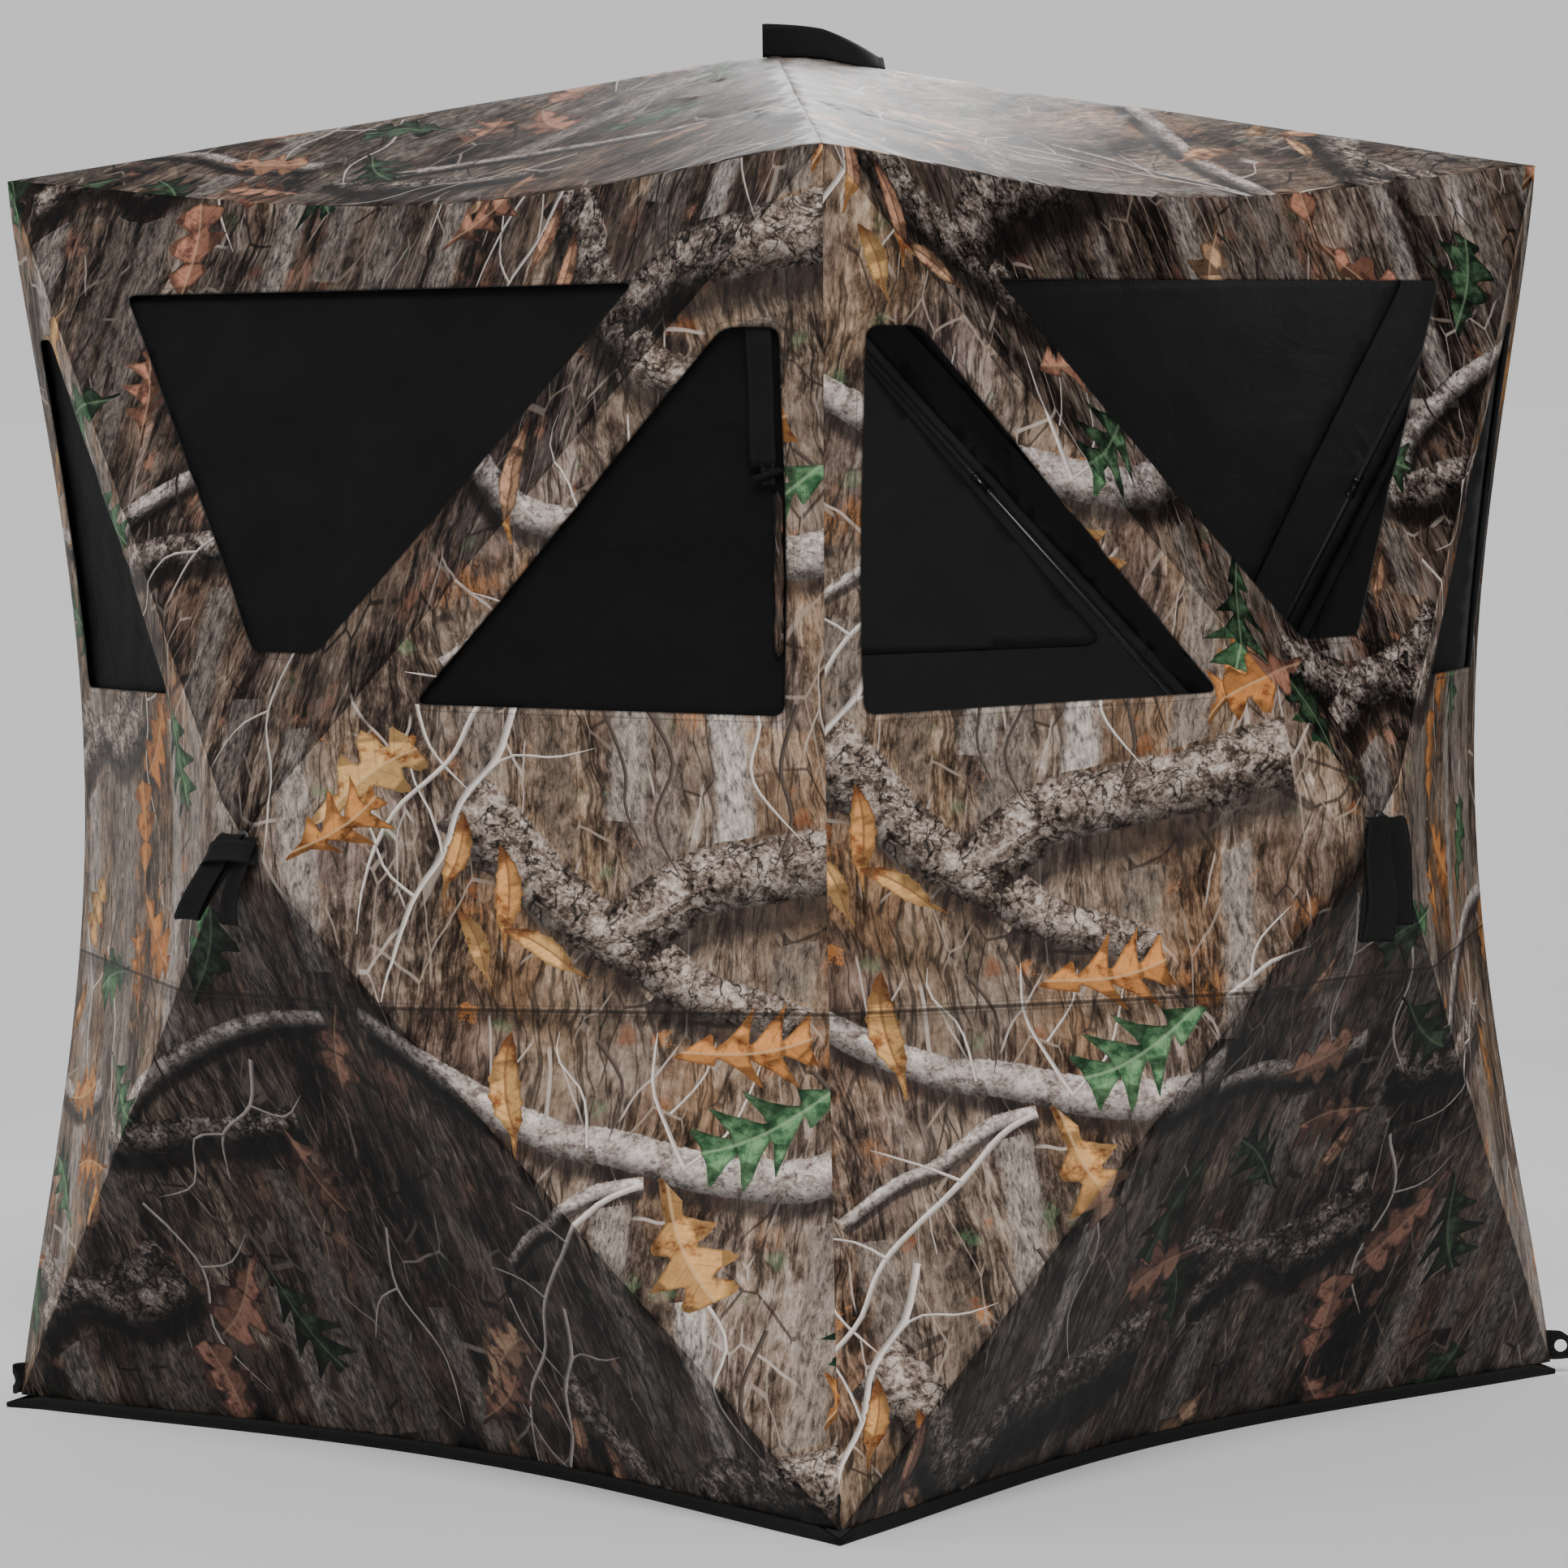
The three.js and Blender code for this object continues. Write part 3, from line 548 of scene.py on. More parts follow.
# Limbs: kind, width at both ends, path
LIMBS = [
    ("lichen", 0.074, 0.040, [(25, 82), (29, 78), (34, 72), (40, 67), (45, 64), (49, 61), (55, 59),
        (61, 57)]),
    ("lichen", 0.066, 0.078, [(42, 67), (46, 70), (50, 73), (55, 74), (60, 75), (66, 76), (71, 78),
        (76, 79)]),
    ("birch", 0.026, 0.052, [(12, 57), (18, 54), (25, 50), (30, 47), (37, 44), (43, 43), (50, 41),
        (56, 40), (63, 40), (70, 43)]),
    ("lichen", 0.044, 0.032, [(-40, 39), (-34, 38), (-24, 40), (-14, 41), (-6, 43)]),
    ("birch", 0.026, 0.020, [(-33, 42), (-30, 45), (-18, 51), (-6, 55), (5, 56)]),
    ("birch", 0.012, 0.018, [(24, 28), (30, 32), (35, 34), (41, 38), (46, 39)]),
    ("lichen", 0.056, 0.040, [(78, 20), (90, 16), (102, 19), (110, 24)]),
    ("birch", 0.022, 0.030, [(71, 40), (80, 41), (90, 40), (99, 43)]),
    ("lichen", 0.036, 0.050, [(-62, 12), (-52, 17), (-44, 15), (-34, 20)]),
]
# Trunks: foot and top in centimetres, width, and tone (0 dark to 1 pale)
TRUNKS = [
    ((53, 77), (52, 96), 0.052, 0.95), ((45, 71), (44, 94), 0.075, 0.25), ((35, 74), (34, 94), 0.050, 0.05),
    ((59, 60), (60, 73), 0.060, 0.15), ((8, 62), (6, 90), 0.060, 0.55), ((-4, 56), (-4, 93), 0.070, 0.35),
    ((-21, 50), (-20, 90), 0.055, 0.65), ((-42, 47), (-41, 90), 0.080, 0.30),
    ((-56, 15), (-57, 64), 0.060, 0.60),
    ((69, 46), (70, 70), 0.050, 0.45), ((88, 48), (88, 90), 0.075, 0.60), ((98, 42), (100, 90), 0.050, 0.20),
    ((42, 10), (43, 37), 0.055, 0.50), ((27, 5), (27, 26), 0.060, 0.20), ((-12, 2), (-13, 36), 0.065, 0.40),
    ((64, 0), (65, 38), 0.060, 0.30), ((106, 26), (107, 62), 0.060, 0.35),
]
# Twigs: tone, width, and path in centimetres
TWIGS = [
    (1, 0.0080, [(31, 93), (29, 87), (25, 82), (23, 76), (20, 71), (18, 64), (17, 59)]),
    (1, 0.0042, [(21, 93), (22, 88), (26, 83)]), (1, 0.0036, [(26, 83), (30, 87), (35, 87), (39, 88)]),
    (1, 0.0036, [(23, 76), (22, 80), (20, 85), (20, 89)]),
    (1, 0.0038, [(20, 71), (17, 74), (15, 80), (12, 85)]),
    (1, 0.0072, [(46, 39), (42, 37), (37, 32), (28, 24), (24, 17), (18, 11), (15, 4), (14, -3)]),
    (1, 0.0040, [(37, 32), (33, 34), (28, 36)]), (1, 0.0036, [(28, 24), (25, 26), (20, 27)]),
    (1, 0.0050, [(50, 41), (48, 45), (46, 50), (46, 56)]),
    (1, 0.0036, [(50, 41), (54, 45), (56, 50), (57, 54)]), (1, 0.0030, [(48, 47), (51, 51), (52, 55)]),
    (1, 0.0034, [(40, 43), (39, 49), (36, 53), (36, 56)]),
    (0, 0.0055, [(60, 93), (58, 86), (59, 80), (57, 74)]),
    (0, 0.0045, [(40, 93), (42, 86), (42, 81), (44, 76)]), (0, 0.0045, [(40, 55), (43, 50), (42, 44)]),
    (0, 0.0050, [(62, 52), (66, 47), (65, 43), (69, 38)]),
    (1, 0.0060, [(68, 51), (71, 53), (74, 55), (80, 56)]), (1, 0.0036, [(71, 53), (72, 57), (76, 61)]),
    (1, 0.0060, [(-10, 50), (-13, 44), (-19, 40), (-21, 34)]),
    (1, 0.0040, [(-13, 44), (-8, 43), (-4, 46)]),
    (1, 0.0036, [(-19, 40), (-24, 39), (-27, 33), (-33, 31)]),
    (0, 0.0055, [(-32, 62), (-26, 55), (-25, 47), (-20, 42)]),
    (1, 0.0056, [(-50, 60), (-44, 52), (-43, 44), (-38, 38)]),
    (1, 0.0060, [(86, 62), (90, 54), (90, 47), (94, 41)]), (1, 0.0036, [(90, 54), (94, 56), (99, 60)]),
    (0, 0.0055, [(100, 66), (97, 57), (102, 50), (100, 43)]),
    (1, 0.0050, [(2, 30), (0, 22), (4, 14), (3, 5)]), (1, 0.0034, [(0, 22), (-4, 20), (-7, 15)]),
    (1, 0.0055, [(-36, 30), (-31, 22), (-33, 13), (-28, 6)]),
    (1, 0.0034, [(-31, 22), (-26, 23), (-22, 27)]),
    (1, 0.0050, [(52, 28), (56, 22), (55, 15), (60, 8)]),
    (0, 0.0050, [(44, 24), (47, 17), (45, 10), (48, 3)]),
]
# Leaves: kind, shape, centre in centimetres, length, angle from across, tint (0 orange to 1 tan), tone
LEAVES = [
    ("long", "blade", (29, 72), 0.100, 96, 0.45, 1.05), ("long", "blade", (26, 66), 0.078, 118, 0.9, 1),
    ("long", "blade", (33, 65), 0.088, 152, 0.8, 1.05), ("long", "blade", (32, 50), 0.120, 93, 0.7, 1),
    ("oak", "oak", (16, 84), 0.120, 35, 0.95, 0.95), ("oak", "pin", (56, 55), 0.115, 12, 0.15, 1.05),
    ("green", "pin", (57, 46), 0.130, 205, 0.5, 1.15), ("oak", "oak", (52, 32), 0.125, 300, 0.65, 1),
    ("oak", "pin", (69, 88), 0.085, 70, 0.1, 0.95), ("green", "oak", (79, 83), 0.090, 120, 0.5, 0.6),
    ("green", "pin", (72, 24), 0.115, 250, 0.5, 0.85), ("oak", "oak", (74, 17), 0.110, 200, 0.1, 0.85),
    ("oak", "oak", (6, 52), 0.105, 250, 0.3, 0.85), ("oak", "pin", (-6, 36), 0.100, 300, 0.25, 0.85),
    ("oak", "oak", (-28, 18), 0.125, 225, 0.05, 0.85),
    ("green", "pin", (-17, 16), 0.125, 300, 0.5, 0.8), ("green", "oak", (-11, 64), 0.120, 60, 0.5, 0.9),
    ("oak", "oak", (-27, 64), 0.120, 330, 0.05, 0.95), ("oak", "pin", (-35, 59), 0.100, 110, 0.1, 0.95),
    ("long", "blade", (-45, 30), 0.090, 70, 0.6, 0.95), ("oak", "oak", (-55, 42), 0.110, 20, 0.35, 0.9),
    ("green", "pin", (-60, 29), 0.110, 150, 0.5, 0.85), ("oak", "pin", (12, 10), 0.100, 40, 0.2, 0.9),
    ("long", "blade", (24, 7), 0.085, 80, 0.5, 1), ("oak", "oak", (91, 64), 0.105, 240, 0.85, 1),
    ("oak", "pin", (98, 33), 0.105, 190, 0.15, 0.9), ("oak", "oak", (111, 6), 0.120, 100, 0.05, 0.9),
    ("green", "pin", (109, 44), 0.110, 330, 0.5, 0.9), ("long", "blade", (85, 52), 0.085, 60, 0.7, 1),
    ("green", "oak", (100, 56), 0.110, 200, 0.5, 0.85),
]


def run_along(points):
    """Distance of each point along its polyline."""
    return np.concatenate([[0], np.cumsum(np.linalg.norm(np.diff(points, axis=0), axis=1))])


def unit_rows(vectors):
    return vectors / np.linalg.norm(vectors, axis=1)[:, None]


def smooth_path(points, spacing):
    """A rounded path through the points, at even steps."""
    p = np.array([points[0], *points, points[-1]], float)
    dense = []
    for i in range(len(p) - 3):
        for t in np.linspace(0, 1, 10, endpoint=False):
            a, b, c, d = p[i : i + 4]
            bent = 2 * b + (c - a) * t + (2 * a - 5 * b + 4 * c - d) * t**2 + (3 * b - a - 3 * c + d) * t**3
            dense.append(0.5 * bent)
    dense.append(p[-2])
    dense = np.array(dense)
    run = run_along(dense)
    count = max(3, int(run[-1] / spacing) + 1)
    even = np.linspace(0, run[-1], count)
    return np.stack([np.interp(even, run, dense[:, k]) for k in range(dense.shape[1])], -1)


class Motif:
    """A closed outline in the print, with its own coordinates for the shader."""

    def __init__(self, kind, outline, local, tint, tone):
        self.kind, self.outline, self.local, self.hue = kind, outline, local, (tint, tone, 0.0)
        self.low, self.high = outline.min(0), outline.max(0)


def limb_motif(kind, points, wide_a, wide_b, spacing, rough, tint=0.5):
    """A limb, twig or trunk along a path, its sides uneven by the share rough."""
    path = smooth_path(points, spacing)
    along = unit_rows(np.gradient(path, axis=0))
    side = np.stack([-along[:, 1], along[:, 0]], -1)
    if abs(along[:, 0]).mean() > 0.5:  # on limbs that lie, every side points up
        side *= np.where(side[:, 1:] < 0, -1, 1)
    share = np.linspace(0, 1, len(path))
    half = (wide_a + (wide_b - wide_a) * share) / 2
    i = np.arange(len(path))
    bumps = 1 + rough * (np.sin(i * 1.9 + wide_a * 900) * 0.6 + np.sin(i * 0.83 + wide_b * 700) * 0.4)
    dips = 1 + rough * (np.sin(i * 1.3 + wide_a * 500) * 0.5 + np.sin(i * 2.6 + 2) * 0.5)
    if kind == "twig":
        half = half * np.where(share > 0.8, 1 - 0.7 * (share - 0.8) / 0.2, 1)
    top, bottom = path + side * (half * bumps)[:, None], path - side * (half * dips)[:, None]

    def local(q):
        """Distance along the path, and share of the half width across it."""
        k = np.linalg.norm(q[:, None, :] - path[None], axis=2).argmin(1)
        across = ((q - path[k]) * side[k]).sum(1) / half[k]
        return np.stack([k * spacing, np.clip(across, -1.2, 1.2)], -1)

    return Motif(kind, np.concatenate([bottom, top[::-1]]), local, tint, 1.0)


LEAF_POINTS = 34


def leaf_outline(shape, seed):
    """One side of a leaf from stalk to tip, as (along, half width), for a leaf of length 1."""
    t = np.linspace(0, 1, LEAF_POINTS)
    ragged = 1 + 0.07 * np.sin(37 * t + seed) + 0.05 * np.sin(71 * t + 2 * seed)
    if shape == "blade":
        return t, 0.15 * np.sin(np.pi * t**0.8) ** 0.8 * ragged
    body = np.sin(np.pi * np.clip(t * 0.94 + 0.03, 0, 1)) ** 0.55
    if shape == "oak":
        lobe = 0.5 + 0.5 * np.cos(2 * np.pi * (3.2 * t - 0.38 + 0.02 * seed))
        return t, 0.42 * body * (0.62 + 0.5 * t) * (0.34 + 0.66 * lobe**0.75) * ragged
    saw = (3.5 * t + 0.05 + 0.02 * seed) % 1
    spike = np.where(saw < 0.72, saw / 0.72, (1 - saw) / 0.28)
    return t, 0.47 * body * (0.16 + 0.84 * spike**1.4) * ragged


def leaf_motif(kind, shape, centre, length, angle, tint, tone):
    """A curved leaf on a short stalk, its length at an angle from across."""
    centre = np.array(centre) / 100
    seed = centre[0] * 31 + centre[1] * 17
    t, half = leaf_outline(shape, seed)
    _, other = leaf_outline(shape, seed + 2.2)
    curve = lambda along: 0.10 * np.sin(along * 2.6) * (1 if int(angle) % 2 else -1)
    lean = curve(t)
    shift = {"pin": 0.20, "oak": 0.08, "blade": 0.0}[shape]
    left = np.stack([t + shift * (half / 0.4), lean + half], -1)
    right = np.stack([t + shift * (other / 0.4), lean - other * 0.92], -1)
    stalk = np.array([[-0.22, -0.012], [-0.22, 0.012]])
    flat = np.concatenate([left[1:-1], [[1.0, lean[-1]]], right[1:-1][::-1], stalk])
    c, s = math.cos(math.radians(angle)), math.sin(math.radians(angle))
    turn = np.array([[c, s], [-s, c]])

    def local(q):
        """Along the leaf, and off its curved middle, for a leaf of length 1."""
        p = (q - centre) @ turn.T / length + [0.5, 0]
        return np.stack([p[:, 0], p[:, 1] - curve(p[:, 0])], -1)

    return Motif(kind, (flat - [0.5, 0]) * length @ turn + centre, local, tint, tone)


def metres(path):
    return [(u / 100, v / 100) for u, v in path]


def one_repeat():
    """All motifs of one repeat, in the order that they are printed."""
    motifs = []
    for ends, width, tone in [(metres(trunk[:2]), *trunk[2:]) for trunk in TRUNKS]:
        (u0, v0), (u1, v1) = ends
        path = [ends[0], ((u0 + u1) / 2 + 0.006, (v0 + v1) / 2), ends[1]]
        motifs.append(limb_motif("trunk", path, width, width * 0.9, 0.03, 0.05, tone))
    for _, a, b, path in LIMBS:
        under = [(u + 0.10 * a, v - 0.62 * (a + b) / 2) for u, v in metres(path)]
        motifs.append(limb_motif("shadow", under, a * 1.15, b * 1.15, 0.022, 0.05))
    for kind, a, b, path in LIMBS:
        motifs.append(limb_motif(kind, metres(path), a * 1.12, b * 1.12, 0.014, 0.04))
    for pale, width, path in TWIGS:
        motifs.append(limb_motif("twig", metres(path), width, width * 0.55, 0.016, 0.12, float(pale)))
    return motifs + [leaf_motif(*leaf) for leaf in LEAVES]


MOTIFS = one_repeat()
# Where each face's cloth was cut from the print: shift across and up
PRINT_SHIFT = {
    "front": (0.0, 0.0), "right": (-0.885, 0.07), "back": (0.35, 0.30), "left": (-0.42, 0.18),
    "roof": (0.18, 0.45),
}


def motifs_over(face, low, high):
    """The motifs that touch a box on a face, as (motif, shift), in the order that they are printed."""
    su, sv = PRINT_SHIFT[face]
    found = []
    for motif in MOTIFS:
        for i in range(-3, 4):
            for j in range(-3, 5):
                shift = np.array([su + i * REPEAT_U, sv + j * REPEAT_V])
                if (motif.low + shift < high).all() and (motif.high + shift > low).all():
                    found.append((motif, shift))
    return found


# ---------------------------------------------------------------- outlines and meshes
def rounded(outline, radius, steps=4):
    """The outline with its corners rounded."""
    points = [np.array(p, float) for p in outline]
    result = []
    for i, p in enumerate(points):
        before, after = points[i - 1], points[(i + 1) % len(points)]
        a = p + (before - p) / np.linalg.norm(before - p) * radius
        b = p + (after - p) / np.linalg.norm(after - p) * radius
        for t in np.linspace(0, 1, steps + 1):
            result.append((1 - t) ** 2 * a + 2 * t * (1 - t) * p + t**2 * b)
    return np.array(result)


def grown(outline, shade_under_lap):
    """A convex outline, pushed out by lap."""
    points = np.array(outline, float)
    turn = np.sign(np.cross(points[1] - points[0], points[2] - points[1]))
    result = []
    for i, p in enumerate(points):
        a = p - points[i - 1]
        b = points[(i + 1) % len(points)] - p
        na = turn * np.array([a[1], -a[0]]) / np.linalg.norm(a)
        nb = turn * np.array([b[1], -b[0]]) / np.linalg.norm(b)
        push = (na + nb) / np.linalg.norm(na + nb)
        result.append(p + push * min(shade_under_lap / push.dot(na), 1.8 * shade_under_lap))
    return result


def inside(outline, q):
    """Which points lie in a closed outline."""
    x, y = q[:, 0], q[:, 1]
    result = np.zeros(len(q), bool)
    for (x1, y1), (x2, y2) in zip(outline, np.roll(outline, -1, axis=0)):
        crosses = (y1 > y) != (y2 > y)
        with np.errstate(divide="ignore", invalid="ignore"):
            result ^= crosses & (x < (x2 - x1) * (y - y1) / (y2 - y1) + x1)
    return result


def near_outline(outline, q):
    """Distance from each point to the outline."""
    a, b = outline, np.roll(outline, -1, axis=0)
    d = b - a
    t = np.clip(((q[:, None] - a[None]) * d[None]).sum(2) / (d**2).sum(1), 0, 1)
    return np.linalg.norm(q[:, None] - (a[None] + t[..., None] * d[None]), axis=2).min(1)


def even_line(points, spacing):
    """The polyline with its long steps split evenly, near spacing."""
    result = [np.array(points[0], float)]
    for p in points[1:]:
        p = np.array(p, float)
        count = max(1, int(np.linalg.norm(p - result[-1]) / spacing))
        start = result[-1]
        result += [start + (p - start) * k / count for k in range(1, count + 1)]
    return result


def even_outline(outline, spacing):
    return np.array(even_line([*outline, outline[0]], spacing))[:-1]


def grid_inside(outline, holes, spacing):
    """Points in rows of triangles over an outline, less its holes, and not too near any edge."""
    low, high = outline.min(0), outline.max(0)
    rows = np.arange(low[1], high[1], spacing * 0.866)
    across = np.arange(low[0], high[0], spacing)
    grid = np.array([(u + (k % 2) * spacing / 2, v) for k, v in enumerate(rows) for u in across])
    clear = spacing * 0.35
    keep = inside(outline, grid) & (near_outline(outline, grid) > clear)
    for hole in holes:
        keep &= ~inside(hole, grid) & (near_outline(hole, grid) > clear)
    return grid[keep]


def cut_cloth(outline, holes, spacing, motifs=(), bands=(), lines=()):
    """Triangles of a flat piece: outline less holes, with each motif's outline cut into them.
    Returns points, triangles and the index of the topmost motif (or -1) for each triangle."""
    points, faces, edges = [], [], []
    for shape in [outline, *holes, *bands, *[m.outline + shift for m, shift in motifs]]:
        following = np.roll(shape, -1, axis=0)
        if (shape[:, 0] * following[:, 1] - shape[:, 1] * following[:, 0]).sum() < 0:
            shape = shape[::-1]
        faces.append(list(range(len(points), len(points) + len(shape))))
        points += [Vector(p) for p in shape]
    for line in lines:
        edges += [(len(points) + k, len(points) + k + 1) for k in range(len(line) - 1)]
        points += [Vector(p) for p in line]
    points += [Vector(p) for p in grid_inside(outline, holes, spacing)]
    verts, _, tris, _, _, origins = delaunay_2d_cdt(points, edges, faces, 0, 1e-6, True)
    first_motif = 1 + len(holes) + len(bands)
    hole_ids = set(range(1, 1 + len(holes)))
    kept, tops = [], []
    for tri, origin in zip(tris, origins):
        if 0 in origin and not hole_ids & set(origin):
            kept.append(tri)
            tops.append(max([o - first_motif for o in origin if o >= first_motif], default=-1))
    used = sorted({i for tri in kept for i in tri})
    renumber = {old: new for new, old in enumerate(used)}
    flat = np.array([verts[i] for i in used])
    return flat, np.array([[renumber[i] for i in tri] for tri in kept]), np.array(tops)


def add_object(name, data):
    obj = bpy.data.objects.new(name, data)
    bpy.context.scene.collection.objects.link(obj)
    return obj


def make_mesh(name, points, polygons, materials):
    """A smooth shaded mesh."""
    mesh = bpy.data.meshes.new(name)
    mesh.from_pydata([tuple(p) for p in points], [], [tuple(int(i) for i in p) for p in polygons])
    for material in materials:
        mesh.materials.append(material)
    mesh.polygons.foreach_set("use_smooth", [True] * len(mesh.polygons))
    return add_object(name, mesh)


def put_attribute(obj, name, domain, values):
    attribute = obj.data.attributes.new(name, "FLOAT_VECTOR", domain)
    attribute.data.foreach_set("vector", np.asarray(values, np.float32).ravel())


# Painted shade: every point of a piece keeps this share of the print's colour
def put_painted_shade(obj, tone):
    attribute = obj.data.attributes.new("panel", "FLOAT", "POINT")
    attribute.data.foreach_set("value", np.full(len(obj.data.vertices), tone, np.float32))


def solidify(obj, thickness, offset):
    """Thickness inwards at offset -1, and to both sides at 0."""
    m = obj.modifiers.new("thickness", "SOLIDIFY")
    m.thickness, m.offset, m.use_even_offset = thickness, offset, False
    return m


def thicken(obj, thickness):
    """Cloth: its inner layer and its rim take the second material."""
    m = solidify(obj, thickness, -1.0)
    m.material_offset = m.material_offset_rim = 1


def subdivide(obj):
    m = obj.modifiers.new("smooth", "SUBSURF")
    m.levels = m.render_levels = 1


# ---------------------------------------------------------------- cloth pieces
def panel_cut(face, index):
    """A panel's cut without its window: the fan of triangles from the hub to the panel's edge, laid flat.
    Returns its width along the edge, its length from the hub, and its area."""
    rim = np.array([face.to_row(*p) for p in face.edges[index]])
    spokes = np.linalg.norm(rim - face.to_row(*face.hub, face.reach), axis=1)
    chords = np.linalg.norm(np.diff(rim, axis=0), axis=1)
    near, far = spokes[:-1], spokes[1:]
    turns = np.arccos((near**2 + far**2 - chords**2) / (2 * near * far))
    angle = np.concatenate([[0], np.cumsum(turns)]) - turns.sum() / 2
    area = (near * far * np.sin(turns)).sum() / 2
    return float(np.ptp(spokes * np.sin(angle))), float((spokes * np.cos(angle)).max()), float(area)


def window_cut(face, outline):
    """Width, length along the slope, and area of a nearly plane outline on a wall, without its folds."""
    u, v = outline[:, 0], outline[:, 1]
    points = face.to_row(u, v, face.surface(u, v, ripple=0.0))
    normal = np.cross(points, np.roll(points, -1, axis=0)).sum(0) / 2
    area = np.linalg.norm(normal)
    level = np.cross([0, 0, 1.0], normal)
    level /= np.linalg.norm(level)
    slope = np.cross(normal / area, level)
    return float(np.ptp(points @ level)), float(np.ptp(points @ slope)), float(area)


# The upper panels fill 0.29 of theirs.
LEAST_FILL = 0.301
BLEND_START, BLEND_END = 0.10, 0.015
# Painted shade: the share of its colour that each panel's print keeps. The walls' upper and lower panels and
# the roof's panels are painted darker
PAINTED_PANEL_SHADE = {"bottom": 0.215, "right": 1.0, "top": 0.385, "left": 1.0}
PAINTED_ROOF_SHADE = {"front": 0.38, "right": 0.53, "back": 0.50, "left": 0.45}
WALL_PANELS, ROOF_PANELS = list(PAINTED_PANEL_SHADE), list(PAINTED_ROOF_SHADE)  # in the order of a face's edges
CLOTH_SPACING, COVER_SPACING = 0.026, 0.022
WINDOW_ROUNDING, COVER_LAP, COVER_INSET = 0.014, 0.022, 0.0078
NO_EDGE = 0.05  # stands for the distance to a window's edge where a panel has none near


def blend_facet(obj, face, index):
    """Works out where the cloth's blend would start and end, between the edge's chord and the hub, though
    nothing uses them. It bakes the piece's place into its mesh."""
    a, b = (np.array(face.edges[index][k][:2]) for k in (0, -1))
    hub = np.array(face.hub)
    along = (b - a) / np.linalg.norm(b - a)
    foot = a + along * (hub - a).dot(along)
    ends = [face.to_row(*(foot + (hub - foot) * share), face.reach) for share in (BLEND_START, 1 - BLEND_END)]
    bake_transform(obj)


def facet_outline(face, index):
    """From the stud's hole out along one ridge, round the edge, and back along the other."""
    edge = np.array(face.edges[index])[:, :2]
    hub = np.array(face.hub)

    def ridge(corner):
        start = hub + (corner - hub) / np.linalg.norm(corner - hub) * STUD_HOLE
        return even_line([start, corner], 0.024)

    first, last = (math.atan2(*(corner - hub)[::-1]) for corner in (edge[0], edge[-1]))
    last += 2 * math.pi if last < first else 0
    arc = [hub + STUD_HOLE * np.array([math.cos(x), math.sin(x)]) for x in np.linspace(last, first, 6)[1:-1]]
    return np.array([*ridge(edge[0]), *edge[1:-1], *ridge(edge[-1])[::-1], *arc])


def print_on(obj, face, flat, triangles, motifs, tops):
    """Writes where the print lies, and each triangle's motif, for the shader."""
    corner = flat[triangles.ravel()]
    printed = np.column_stack([corner - np.array(PRINT_SHIFT[face.name]), np.zeros(len(corner))])
    put_attribute(obj, "print", "CORNER", printed)
    motif_values, hue_values = np.zeros((len(corner), 3)), np.zeros((len(corner), 3))
    for k in set(tops) - {-1}:
        motif, moved = motifs[k]
        rows = np.repeat(tops == k, 3)
        motif_values[rows, :2] = motif.local(corner[rows] - moved)
        motif_values[rows, 2] = KINDS.index(motif.kind)
        hue_values[rows] = motif.hue
        if motif.kind in ("oak", "green", "long"):
            hue_values[rows, 2] = near_outline(motif.outline, corner[rows] - moved)
    put_attribute(obj, "motif", "CORNER", motif_values)
    put_attribute(obj, "hue", "CORNER", hue_values)


def facet(face, index):
    """One of the four panels between a face's rods."""
    outline = facet_outline(face, index)
    name = (WALL_PANELS if face.is_wall else ROOF_PANELS)[index]
    holes, bands, lines = [], [], []
    if face.is_wall:
        lines = [even_line([(-0.75, SEAM_HEIGHT), (0.75, SEAM_HEIGHT)], 0.03)]
        if name in WINDOWS:
            holes = [rounded(WINDOWS[name], WINDOW_ROUNDING)]
            bands = [rounded(grown(WINDOWS[name], 0.009), 0.020)]
    motifs = motifs_over(face.name, outline.min(0), outline.max(0))
    flat, triangles, tops = cut_cloth(outline, holes, CLOTH_SPACING, motifs, bands, lines)
    points = face.to_row(flat[:, 0], flat[:, 1], face.surface(flat[:, 0], flat[:, 1]))
    obj = make_mesh(f"cloth_{face.name}_{name}", points, triangles, [CAMO, LINING])
    edge = np.full(len(flat), NO_EDGE)
    width, length, area = panel_cut(face, index)
    for hole in holes:
        edge = np.minimum(edge, near_outline(hole, flat))
        area -= window_cut(face, hole)[2]
    put_attribute(obj, "place", "POINT", np.column_stack([flat, edge]))
    print_on(obj, face, flat, triangles, motifs, tops)
    # Painted shade on the panel
    put_painted_shade(obj, (PAINTED_PANEL_SHADE if face.is_wall else PAINTED_ROOF_SHADE)[name])
    blend_facet(obj, face, index)
    thicken(obj, CLOTH_THICKNESS)
    length = min(length, area / width / LEAST_FILL)
    return obj


def cover(face, name, extras=()):
    """A black cover hooked on inside a window, a little larger than it."""
    outline = even_outline(rounded(grown(WINDOWS[name], COVER_LAP), 0.03), 0.02)
    flat, triangles, _ = cut_cloth(outline, [], COVER_SPACING)
    u, v = flat[:, 0], flat[:, 1]
    sag = 0.0030 * np.abs(np.sin(41 * u + 9 * np.sin(13 * v)) * np.sin(23 * v + 5 * u))
    middle = np.clip(near_outline(outline, flat) / 0.05, 0, 1)
    points = face.to_row(u, v, face.surface(u, v, inset=COVER_INSET) - sag * middle - 0.004 * middle)
    obj = make_mesh(f"cover_{face.name}_{name}", points, triangles, [COVER, LINING])
    blend_facet(obj, face, WALL_PANELS.index(name))
    thicken(obj, COVER_THICKNESS)
    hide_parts(f"window_cover_{face.name}_{name}")
    width, length, area = window_cut(face, outline)


# ---------------------------------------------------------------- tapes and turned shapes
def grid_faces(rows, columns, close_rows, close_columns):
    faces = []
    for i in range(rows if close_rows else rows - 1):
        for j in range(columns if close_columns else columns - 1):
            k, m = (i + 1) % rows, (j + 1) % columns
            faces.append((i * columns + j, i * columns + m, k * columns + m, k * columns + j))
    return faces


